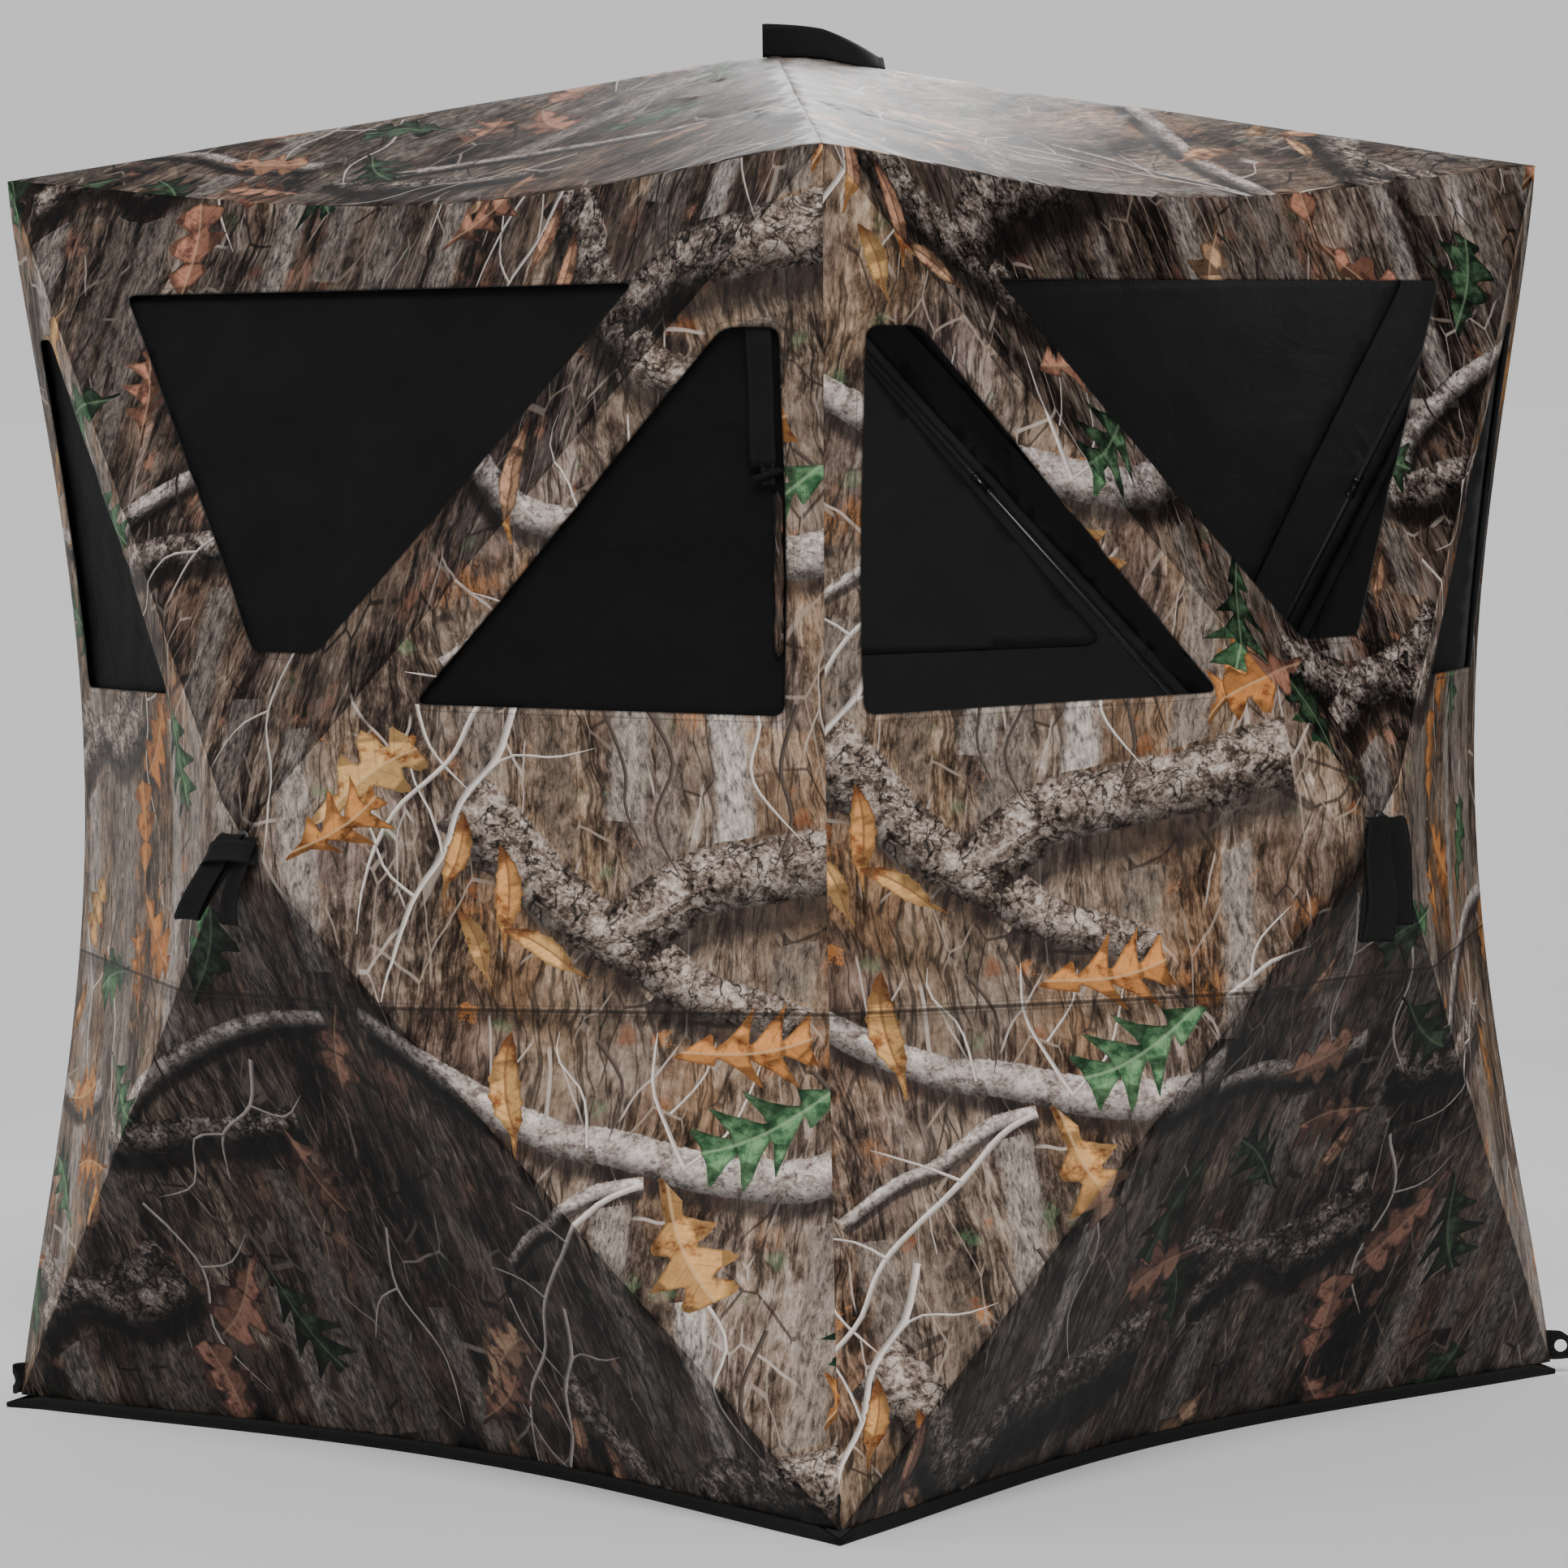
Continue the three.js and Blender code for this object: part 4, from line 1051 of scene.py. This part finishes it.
def join_grids(name, grids, material):
    """Several grids of points as one mesh. Each grid is (points, tape values, close rows, close columns)."""
    points, tape, faces = [], [], []
    for grid, values, close_rows, close_columns in grids:
        rows, columns = grid.shape[:2]
        quads = grid_faces(rows, columns, close_rows, close_columns)
        faces += [tuple(i + len(points) for i in quad) for quad in quads]
        points += list(grid.reshape(-1, 3))
        tape += list(values.reshape(-1, 3))
    obj = make_mesh(name, points, faces, [material])
    put_attribute(obj, "tape", "POINT", tape)
    return obj


TAPE_COLUMNS = 7
TAPE_MIDDLE = TAPE_COLUMNS // 2


def ribbon(centres, sides, width, cup=0.0):
    """A tape along centre points. sides are its width directions, and cup bows it across."""
    centres, sides = np.array(centres, float), unit_rows(np.array(sides, float))
    up = unit_rows(np.cross(np.gradient(centres, axis=0), sides))
    across = np.linspace(-0.5, 0.5, TAPE_COLUMNS)
    bowed = cup * (1 - (2 * across) ** 2)
    grid = centres[:, None] + sides[:, None] * (across * width)[None, :, None]
    grid = grid + up[:, None] * bowed[None, :, None]
    run = run_along(centres)
    a, b = np.meshgrid(run, across * width, indexing="ij")
    edge = width / 2 - np.abs(b)
    edge = np.minimum(edge, np.minimum(a, run[-1] - a) + 0.004)
    return grid, np.stack([a, b, edge], -1), False, False


def tube(centres, radii, sides=18, part=0.0):
    """A round bar along centre points, its ends closed to a point. part is 1 on fittings."""
    centres, radii = np.array(centres, float), np.array(radii, float)
    along = unit_rows(np.gradient(centres, axis=0))
    first = unit_rows(np.cross(along, [0.31, 0.17, 0.94]))
    second = np.cross(along, first)
    turn = np.linspace(0, 2 * np.pi, sides, endpoint=False)
    ring = first[:, None] * np.cos(turn)[None, :, None] + second[:, None] * np.sin(turn)[None, :, None]
    grid = centres[:, None] + ring * radii[:, None, None]
    a, b = np.meshgrid(run_along(centres), turn * 0.005, indexing="ij")
    return grid, np.stack([a, b, np.full_like(a, part)], -1), False, True


def lathe(profile, sides=40):
    """Grid of a turned shape. profile is (radius, height) from one end to the other."""
    turn = np.linspace(0, 2 * np.pi, sides, endpoint=False)
    profile = np.array(profile, float)
    x = profile[:, None, 0] * np.cos(turn)
    z = profile[:, None, 0] * np.sin(turn)
    y = np.repeat(profile[:, 1:2], sides, axis=1)
    return x, y, z


# ---------------------------------------------------------------- pull straps
STRAP_WIDTH, STRAP_THICKNESS, STRAP_STEP, BAR_WIDTH = 0.038, 0.0017, 0.004, 0.026
STRAP_ROOT = -0.014  # where the loop leaves the hub, across
# Each strap: where its loop's tip and its tail's tip hang, and how far each is turned towards the corner
STRAP_HANG = {
    "front": ((-0.064, 0.034, -0.094), -4, (-0.004, 0.022, -0.098), 6),
    "right": ((-0.044, 0.030, -0.136), 44, (0.010, 0.024, -0.122), 34),
    "back": ((0.030, 0.034, -0.120), 10, (-0.012, 0.018, -0.112), -40),
    "left": ((-0.030, 0.036, -0.125), -25, (0.018, 0.018, -0.118), 30),
}
# The bar over the front strap, as in the photo
FRONT_BAR = [
    (-0.046, 0.020, -0.020), (-0.034, 0.0225, -0.014), (-0.006, 0.0215, -0.011), (0.020, 0.018, -0.012),
    (0.033, 0.010, -0.018),
]
ROOF_STRAP_LENGTH, ROOF_STRAP_WIDTH = 0.142, 0.042


def local_point(face, x, out, z):
    """A point beside a face's hub: across, outwards from the patch, and up."""
    return face.to_row(face.hub[0] + x, face.hub[1] + z, face.reach + out)


def twist(path, start, end):
    """Width directions along a hanging tape, turned from start to end degrees about the vertical."""
    share = np.linspace(0, 1, len(path)) ** 0.8
    angles = np.radians(start + (end - start) * share)
    return np.stack([np.cos(angles), np.sin(angles), np.zeros(len(path))], -1)


def wall_strap(face):
    """A doubled loop of webbing and its loose tail, which come out of the hub side by side."""
    (lx, lout, lz), loop_turn, (tx, tout, tz), tail_turn = STRAP_HANG[face.name]
    loop = smooth_path([
        (STRAP_ROOT, 0.004, 0.006), (-0.016, 0.013, -0.001),
        (0.6 * STRAP_ROOT + 0.35 * lx, 0.60 * lout, 0.30 * lz),
        (0.74 * lx, lout, 0.68 * lz), (lx, lout, lz + 0.004),
        (lx, lout - 0.003, lz), (lx, lout - 0.0065, lz + 0.006), (0.72 * lx, 0.62 * lout, 0.64 * lz),
        (0.25 * lx - 0.006, 0.32 * lout, 0.24 * lz), (STRAP_ROOT, 0.0035, -0.006),
    ], STRAP_STEP)
    tail = smooth_path([
        (0.017, 0.004, 0.004), (0.019, 0.011, -0.003), (0.5 * tx + 0.010, 0.8 * tout, 0.35 * tz),
        (0.9 * tx, tout, 0.7 * tz), (tx, tout, tz),
    ], STRAP_STEP)
    half = len(loop) // 2
    loop_side = np.concatenate([twist(loop[:half], 0, loop_turn), twist(loop[half:], loop_turn, 0)])
    tail_side = twist(tail, 15, tail_turn)
    strips = [(loop, loop_side, STRAP_WIDTH, 0.0015), (tail, tail_side, STRAP_WIDTH * 0.8, 0.002)]
    if face.name == "front":
        bar = smooth_path(FRONT_BAR, STRAP_STEP)
        lean = np.linspace(0.45, -0.15, len(bar))[:, None] * [1.0, 0, 0]
        strips.append((bar, np.tile([0.0, -0.25, 1.0], (len(bar), 1)) + lean, BAR_WIDTH, 0.002))
    grids = []
    for path, side, width, cup in strips:
        grid, values, *closed = ribbon(path, side, width, cup=cup)
        grids.append((local_point(face, grid[..., 0], grid[..., 1], grid[..., 2]), values, *closed))
    return grids


def roof_strap():
    """Two webs on edge along the ridge towards the far right corner, joined at their ends."""
    face = FACES["roof"]
    along = np.array([1.0, 1.0, 0.0]) / math.sqrt(2)
    away = np.array([-1.0, 1.0, 0.0]) / math.sqrt(2)
    up = np.array([0, 0, 1.0])
    width = ROOF_STRAP_WIDTH
    share = np.linspace(0, 1, 36)
    ridge_fall = (ROOF_HUB_HEIGHT - CORNER_HEIGHT) / (HALF_TOP * math.sqrt(2) - PATCH_RADIUS)
    reach = -0.008 + share * ROOF_STRAP_LENGTH
    drop = ridge_fall * np.clip(reach - PATCH_RADIUS, 0, None)
    lean = np.radians(4 + 62 * share**1.5)
    side = np.cos(lean)[:, None] * up + np.sin(lean)[:, None] * away
    grids = []
    for offset, swell in ((-0.0035, -0.004), (0.0035, 0.005)):
        apart = offset * (1 - share**4) + swell * np.sin(np.pi * share)
        foot = along * reach[:, None] + away * apart[:, None]
        foot[:, 2] += face.reach - drop + 0.0035 - 0.0055 * share
        grids.append(ribbon(foot + side * (width / 2), side, width, cup=0.001))
    first, second = (grid[0] for grid in grids)
    (root_a, tip_a), (root_b, tip_b) = (web[[0, -1], TAPE_MIDDLE] for web in (first, second))
    fold = smooth_path([root_a, root_a - along * 0.007 + away * 0.0035, root_b], 0.002)
    grids.append(ribbon(fold, np.tile(up, (len(fold), 1)), width))
    tip = smooth_path([tip_a, (tip_a + tip_b) / 2 + along * 0.004, tip_b], 0.002)
    grids.append(ribbon(tip, np.tile(first[-1, -1] - first[-1, 0], (len(tip), 1)), width))
    return grids


def strap(face):
    obj = join_grids(f"strap_{face.name}", wall_strap(face) if face.is_wall else roof_strap(), WEBBING)
    solidify(obj, STRAP_THICKNESS, 0.0)
    if face.is_wall:
        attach(obj, face.body)
    else:
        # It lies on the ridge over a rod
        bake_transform(obj)
    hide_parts(f"pull_strap_{face.name}")


# ---------------------------------------------------------------- hubs' caps and rods
# Half section of a cap, from the middle of its dome: radius, and height above the patch
CAP_PROFILE = [
    (POINT, 0.0052), (0.005, 0.0050), (0.0085, 0.0042), (0.0104, 0.0030), (0.0110, 0.0018), (0.0110, 0.0006),
    (POINT, 0.0006),
]
# A rod's fittings: place along it, from its hub end, its tip and its middle, and radius there
FORK = [
    (-0.0055, POINT), (-0.0050, 0.0045), (-0.002, 0.0062), (0.044, 0.0062), (0.050, 0.0054), (0.0502, POINT),
]
TIP = [(-0.040, POINT), (-0.0395, 0.0055), (-0.034, 0.0063), (-0.006, 0.0063), (0.0, 0.0042), (0.0002, POINT)]
HALF_CLIP = [(0.012, 0.0062), (0.013, 0.0073), (0.017, 0.0073), (0.0172, POINT)]
CLIP = [(-place, radius) for place, radius in reversed(HALF_CLIP)] + HALF_CLIP
ROD_RADIUS = 0.0050


def hub_cap(face):
    """The small domed button that holds the strap on the cloth's patch."""
    x, y, z = lathe(CAP_PROFILE)
    grid = local_point(face, x, y, z) if face.is_wall else face.to_row(x, z, face.reach + y)
    obj = join_grids(f"cap_{face.name}", [(grid, np.zeros_like(grid), False, True)], HUB)
    subdivide(obj)
    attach(obj, face.body)
    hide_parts(f"hub_cap_{face.name}")


def rod_ends(face):
    """Name and corner, as (across, up, depth below the patch), of each rod of a face."""
    if not face.is_wall:
        drop = ROOF_HUB_HEIGHT - CORNER_HEIGHT
        names = {"front_left": (-1, -1), "back_left": (-1, 1), "front_right": (1, -1), "back_right": (1, 1)}
        return [(k, (x * HALF_TOP, y * HALF_TOP, drop)) for k, (x, y) in names.items()]
    ends = []
    rise = CORNER_HEIGHT - WALL_HUB_HEIGHT
    for name, sign in (("left", -1), ("right", 1)):
        ends.append((f"upper_{name}", (sign * HALF_TOP, rise, WALL_REACH - HALF_TOP)))
        ends.append((f"lower_{name}", (sign * HALF_BOTTOM, -WALL_HUB_HEIGHT, WALL_REACH - HALF_BOTTOM)))
    return ends


def rod(face, name, corner):
    """A fibreglass rod with a moulded fork at the hub, a tip, and the clip at its middle."""
    x, z, depth = corner
    reach = math.hypot(x, z)
    end = ROD_REACH * reach
    tip_depth = depth * (end - PATCH_RADIUS) / (reach - PATCH_RADIUS) + ROD_TIP_DEPTH

    def at(share):
        r = PIVOT_RADIUS + (end - PIVOT_RADIUS) * share
        d = PIVOT_DEPTH + (tip_depth - PIVOT_DEPTH) * share
        return face.to_row(face.hub[0] + x / reach * r, face.hub[1] + z / reach * r, face.reach - d)

    length = np.linalg.norm(at(1) - at(0))

    def turned(start, profile, part):
        centres = [at((start + place) / length) for place, _ in profile]
        return tube(centres, [radius for _, radius in profile], part=part)

    fork_end, tip_start = FORK[-2][0], length + TIP[2][0]
    bar = [(fork_end, ROD_RADIUS), (tip_start, ROD_RADIUS)]
    bar = [(fork_end - 0.004, POINT), *bar, (tip_start + 0.004, POINT)]
    starts = ((0, FORK), (length, TIP), (length / 2, CLIP))
    fittings = [turned(start, profile, 1.0) for start, profile in starts]
    body = f"rod_{face.name}_{name}"
    obj = join_grids(f"pole_{face.name}_{name}", [turned(0, bar, 0.0), *fittings], ROD)
    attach(obj, body)
    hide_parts(body)


# ---------------------------------------------------------------- hem binding
# How far the binding is stretched out at each wall's left corner, along both walls
CORNER_PULL = {"front": 0.012, "right": 0.003, "back": 0.003, "left": 0.003}
HEM_TAPE_TOP = 0.0172
# Section of the folded tape: outwards from the shell's foot, and up
HEM_SECTION = [
    (0.0018, 0.0015), (0.0024, 0.009), (0.0020, 0.0160), (0.0008, HEM_TAPE_TOP), (-0.0034, HEM_TAPE_TOP),
    (-0.0048, 0.0160), (-0.0050, 0.009), (-0.0046, 0.0015), (-0.0034, 0.0002), (0.0008, 0.0002),
]


def hem_path():
    """The hem's line round all four walls, drawn out at the corners."""
    points = []
    for name in SIDES:
        face = FACES[name]
        edge = [(u, out) for u, _, out in face.edges[0]][:-1]
        edge[0] = (-FOOT - CORNER_PULL[name], FOOT + CORNER_PULL[name])
        points += [face.to_row(u, 0, out) for u, out in edge]
    return np.array(points)


def hem():
    """Folded binding tape that grips the foot of the cloth. It lies flatter at the corners."""
    path = hem_path()
    along = np.roll(path, -1, axis=0) - np.roll(path, 1, axis=0)
    outward = unit_rows(np.stack([along[:, 1], -along[:, 0], np.zeros(len(path))], -1))
    run = run_along(path)
    wave = 1 + 0.12 * np.sin(run * 37) * np.sin(run * 11)
    at_corner = np.arange(len(path)) % (len(path) // 4) == 0
    up = np.where(at_corner, 0.4, 1.0)[:, None] * [0, 0, 1.0]
    grid = np.stack([path + outward * (o * wave)[:, None] + up * z for o, z in HEM_SECTION], 1)
    a, b = np.meshgrid(run, [z for _, z in HEM_SECTION], indexing="ij")
    values = np.stack([a, b, np.minimum(b, HEM_TAPE_TOP - b)], -1)
    obj = join_grids("hem", [(grid, values, True, True)], WEBBING)
    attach(obj, "shell")
    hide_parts("hem_binding")


# ---------------------------------------------------------------- the front wall's right window
def on_wall(face, u, v, inset):
    return face.to_row(u, v, face.surface(u, v) - inset)


def across_wall(face, u, v):
    return on_wall(face, u + 0.005, v, 0.0) - on_wall(face, u - 0.005, v, 0.0)


def beside_window(top, foot, offset, steps):
    """Points down the side window's outer edge, set in from it by offset."""
    v = np.linspace(top, foot, steps)
    (low_u, low_v), (high_u, high_v) = SIDE_WINDOW[1:3]
    return low_u + (high_u - low_u) * (v - low_v) / (high_v - low_v) - offset, v


def toggle_and_strip(face):
    """A doubled black strip, and below it the toggle that ties the rolled cover."""
    u, v = beside_window(1.362, 1.196, 0.023, 18)
    path = on_wall(face, u, v, 0.0052 + 0.0006 * np.sin(v * 60))
    strip = ribbon(path, across_wall(face, u, v), 0.030, cup=0.0010)
    u, v = beside_window(1.199, 1.176, 0.018, 9)
    tab = ribbon(on_wall(face, u, v, 0.0036), across_wall(face, u, v), 0.016, cup=-0.0016)
    bar_u = np.linspace(-0.017, 0.017, 9)
    bar = on_wall(face, u[4] + bar_u, v[4] + 0.0045 * np.sin(bar_u * 90), 0.0034)
    half = [POINT, 0.0030, 0.0036, 0.0032]
    toggle = tube(bar, [*half, 0.0028, *reversed(half)], sides=12)
    obj = join_grids("toggle_front_right", [toggle, tab, strip], WEBBING)
    solidify(obj, 0.0010, 0.0)
    return obj


def rolled_edge(face):
    """The cover's printed edge, rolled up below the toggle."""
    u, v = beside_window(1.168, 0.984, 0.010, 30)
    bulge = 0.0052 + 0.0008 * np.sin(v * 95) + 0.0005 * np.sin(v * 230)
    bulge[[0, -1]] = 0.0008
    grid, values, *closed = tube(on_wall(face, u, v, 0.0052), bulge, sides=16)
    obj = join_grids("roll_front_right", [(grid, values, *closed)], CAMO)
    run, round_it = values[..., 0].ravel(), values[..., 1].ravel()
    rolled = np.column_stack([round_it * 2.2, run, np.zeros(len(run))])
    put_attribute(obj, "print", "POINT", rolled)
    put_attribute(obj, "place", "POINT", rolled + np.array([0, 0, NO_EDGE]))
    # Painted shade on the roll, like that of the walls' darker panels
    put_painted_shade(obj, 0.42)
    subdivide(obj)
    return obj


def window_strip(face):
    pieces = [toggle_and_strip(face), rolled_edge(face)]
    for obj, slot in zip(pieces, ("webbing", "camo_cloth")):
        blend_facet(obj, face, WALL_PANELS.index("right"))
    return pieces


# ---------------------------------------------------------------- corner pockets and stake tabs
# Half section of a cup, from one side of its bottom round its lip to the other: radius, place on its axis
POCKET_LIP = 0.0452
POCKET_PROFILE = [
    (POINT, 0.0150), (0.0030, 0.0156), (0.0058, 0.0215), (0.0090, 0.0285), (0.0121, 0.0352), (0.0150, 0.0415),
    (0.0160, 0.0430), (0.0163, 0.0444), (0.0156, POCKET_LIP), (0.0144, 0.0446), (0.0139, 0.0425),
    (0.0110, 0.0360), (0.0080, 0.0295), (0.0048, 0.0225), (0.0018, 0.0185), (POINT, 0.0180),
]
TAB_OUTLINE = [
    (-0.032, 0.050), (-0.030, 0.020), (0.008, 0.0185), (0.026, 0.020), (0.0305, 0.033), (0.027, 0.047),
    (0.013, 0.0565), (-0.006, 0.0575),
]
TAB_HOLE, TAB_HOLE_RADIUS, TAB_SPACING, TAB_THICKNESS = (0.013, 0.037), 0.008, 0.004, 0.0024
TAB_CURL = 0.009  # radius that the front left tab has curled to, as in the photo


def pocket(side, following, upper):
    """The cup of doubled webbing sewn into a corner, which takes the tips of the rods."""
    face = FACES[side]
    x, y, z = lathe(POCKET_PROFILE, 28)
    axis = np.array([-1, -1, -1 if upper else 1]) / math.sqrt(3)
    first = np.array([1, -1, 0]) / math.sqrt(2)
    second = np.cross(axis, first)
    start = np.array([HALF_TOP, HALF_TOP, CORNER_HEIGHT] if upper else [FOOT, FOOT, HEM_TOP])
    place = start + axis * y[..., None] + first * x[..., None] + second * z[..., None]
    run = run_along(np.array(POCKET_PROFILE))
    values = np.stack([np.arctan2(z, x) * 0.012, np.repeat(run[:, None], 28, 1), np.abs(y - POCKET_LIP)], -1)
    level = "corner" if upper else "ground"
    name = f"{level}_pocket_{side}_{following}"
    grid = face.to_row(place[..., 0], place[..., 2], place[..., 1])
    obj = join_grids(name.replace("pocket", "cup"), [(grid, values, False, True)], WEBBING)
    subdivide(obj)
    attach(obj, "shell")
    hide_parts(name)


def stake_tab(side, following):
    """Doubled webbing with a stitched hole for a stake, sewn between two walls at the ground."""
    face = FACES[side]
    outline = even_outline(rounded(TAB_OUTLINE, 0.004, 3), TAB_SPACING)
    turn = np.linspace(0, 2 * math.pi, 24, endpoint=False)
    hole = np.array(TAB_HOLE) + TAB_HOLE_RADIUS * np.column_stack([np.cos(turn), np.sin(turn)])
    flat, triangles, _ = cut_cloth(outline, [hole], TAB_SPACING)
    d, z = flat[:, 0], flat[:, 1]
    bend = 0.0022 * np.sin(z * 95 + 1) * np.clip((d + 0.01) / 0.03, 0, 1)
    if side == "left":
        turned = np.clip(d, 0, None) / TAB_CURL
        bend = bend + TAB_CURL * (1 - np.cos(turned))
        d = np.where(d > 0, TAB_CURL * np.sin(turned), d)
    step, across = d / math.sqrt(2), bend / math.sqrt(2)
    points = face.to_row(FOOT + step + across, z, FOOT + step - across)
    obj = make_mesh(f"tab_{side}_{following}", points, triangles, [WEBBING])
    edge = np.minimum(near_outline(outline, flat), near_outline(hole, flat))
    put_attribute(obj, "tape", "POINT", np.column_stack([d, z, edge]))
    solidify(obj, TAB_THICKNESS, 0.0)
    subdivide(obj)
    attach(obj, "shell")


# ---------------------------------------------------------------- all pieces
for face in FACES.values():
    pieces = [facet(face, index) for index in range(4)]
    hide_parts(f"wall_{face.name}" if face.is_wall else "roof")
    if face.is_wall and face.name != OPEN_WALL:
        for name in WINDOWS:
            extras = window_strip(face) if (face.name, name) == ("front", "right") else ()
            cover(face, name, extras)
    strap(face)
    hub_cap(face)
    for name, corner in rod_ends(face):
        rod(face, name, corner)
for side, following in zip(SIDES, SIDES[1:] + SIDES[:1]):
    pocket(side, following, True)
    pocket(side, following, False)
    stake_tab(side, following)
hem()

for name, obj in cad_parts.items():
    if name.startswith("hub_"):
        obj.data.materials.clear()
        obj.data.materials.append(HUB)

# ---------------------------------------------------------------- floor, light and camera
FLOOR_SIZE = 120.0
SKY_LOW, SKY_HIGH, SKY_BRIGHT, SKY_DIM = 0.06, 0.22, 0.78, 0.34  # bright at the horizon, dim overhead
CAMERA_AZIMUTH, CAMERA_DISTANCE, CAMERA_HEIGHT = 41.98, 7.324, 1.307
CAMERA_PITCH, CAMERA_ROLL, CAMERA_LENS, SENSOR_WIDTH = 4.13, -0.70, 132.7, 36.0


def stage_plane(name, points, material_name, blotch, dark, pale, rough):
    """A flat backdrop with faint blotches of noise, at a scale."""
    mesh = bpy.data.meshes.new(name)
    mesh.from_pydata(points, [], [(0, 1, 2, 3)])
    n = Nodes(material_name)
    tone = n.mix(n.noise(n.object_place(), blotch, 3), (dark,) * 3, (pale,) * 3)
    mesh.materials.append(n.finish(Base_Color=tone, Roughness=rough))
    obj = add_object(name, mesh)
    return obj


def area_light(name, place, aim, size, power):
    data = bpy.data.lights.new(name, "AREA")
    data.shape, data.size, data.energy = "DISK", size, power
    obj = add_object(name, data)
    obj.location = place
    obj.rotation_euler = (Vector(aim) - Vector(place)).to_track_quat("-Z", "Y").to_euler()
    obj.visible_camera = False


def sun(name, azimuth, elevation, strength, softness):
    """A far soft light: azimuth from the front wall's side (-Y) towards +X."""
    a, e = math.radians(azimuth), math.radians(elevation)
    data = bpy.data.lights.new(name, "SUN")
    data.energy, data.angle = strength, math.radians(softness)
    towards = Vector((math.sin(a) * math.cos(e), -math.cos(a) * math.cos(e), math.sin(e)))
    add_object(name, data).rotation_euler = towards.to_track_quat("Z", "Y").to_euler()


def studio_world():
    """A white sky, bright in a band at the horizon."""
    world = bpy.data.worlds.new("studio")
    bpy.context.scene.world = world
    world.use_nodes = True
    sky, links = world.node_tree.nodes, world.node_tree.links
    height = sky.new("ShaderNodeSeparateXYZ")
    links.new(sky.new("ShaderNodeTexCoord").outputs["Generated"], height.inputs[0])
    band = sky.new("ShaderNodeMapRange")
    band.interpolation_type = "SMOOTHSTEP"
    for index, value in enumerate((SKY_LOW, SKY_HIGH, SKY_BRIGHT, SKY_DIM), 1):
        band.inputs[index].default_value = value
    links.new(height.outputs[2], band.inputs[0])
    links.new(band.outputs[0], sky["Background"].inputs[1])
    sky["Background"].inputs[0].default_value = (1.0, 1.0, 1.0, 1.0)


def photo_camera():
    """The camera fitted to the photo's corners, hubs and peak."""
    data = bpy.data.cameras.new("camera")
    data.lens, data.sensor_width = CAMERA_LENS, SENSOR_WIDTH
    camera = add_object("camera", data)
    azimuth = math.radians(CAMERA_AZIMUTH)
    turned = Matrix.Rotation(azimuth, 4, "Z")
    turned = turned @ Matrix.Rotation(math.radians(90 - CAMERA_PITCH), 4, "X")
    turned = turned @ Matrix.Rotation(math.radians(CAMERA_ROLL), 4, "Z")
    place = (CAMERA_DISTANCE * math.sin(azimuth), -CAMERA_DISTANCE * math.cos(azimuth), CAMERA_HEIGHT)
    camera.matrix_world = Matrix.Translation(place) @ turned
    bpy.context.scene.camera = camera


floor = [(x * FLOOR_SIZE, y * FLOOR_SIZE, 0) for x, y in ((-1, -1), (1, -1), (1, 1), (-1, 1))]
stage_plane("floor", floor, "pale_floor", 1.5, 0.66, 0.70, 0.9)
# A studio flag behind and to the right, unseen: it keeps the pale backdrop's glare off the right wall
flag = [(-0.5, 2.8, 0.02), (4.6, 1.5, 0.02), (4.6, 1.5, 3.6), (-0.5, 2.8, 3.6)]
card = stage_plane("card", flag, "card_black", 3.0, 0.010, 0.016, 0.95)
card.visible_camera = card.visible_shadow = False
sun("key", 46, 50, 3.4, 28)
sun("left", -40, 30, 0.3, 30)
area_light("back", (-1.15, 1.55, 2.75), (0.2, 0.0, 1.66), 0.9, 42)
area_light("inside", (0.45, -0.45, 1.30), (-0.5, 0.5, 0.9), 0.5, 5)
studio_world()
photo_camera()
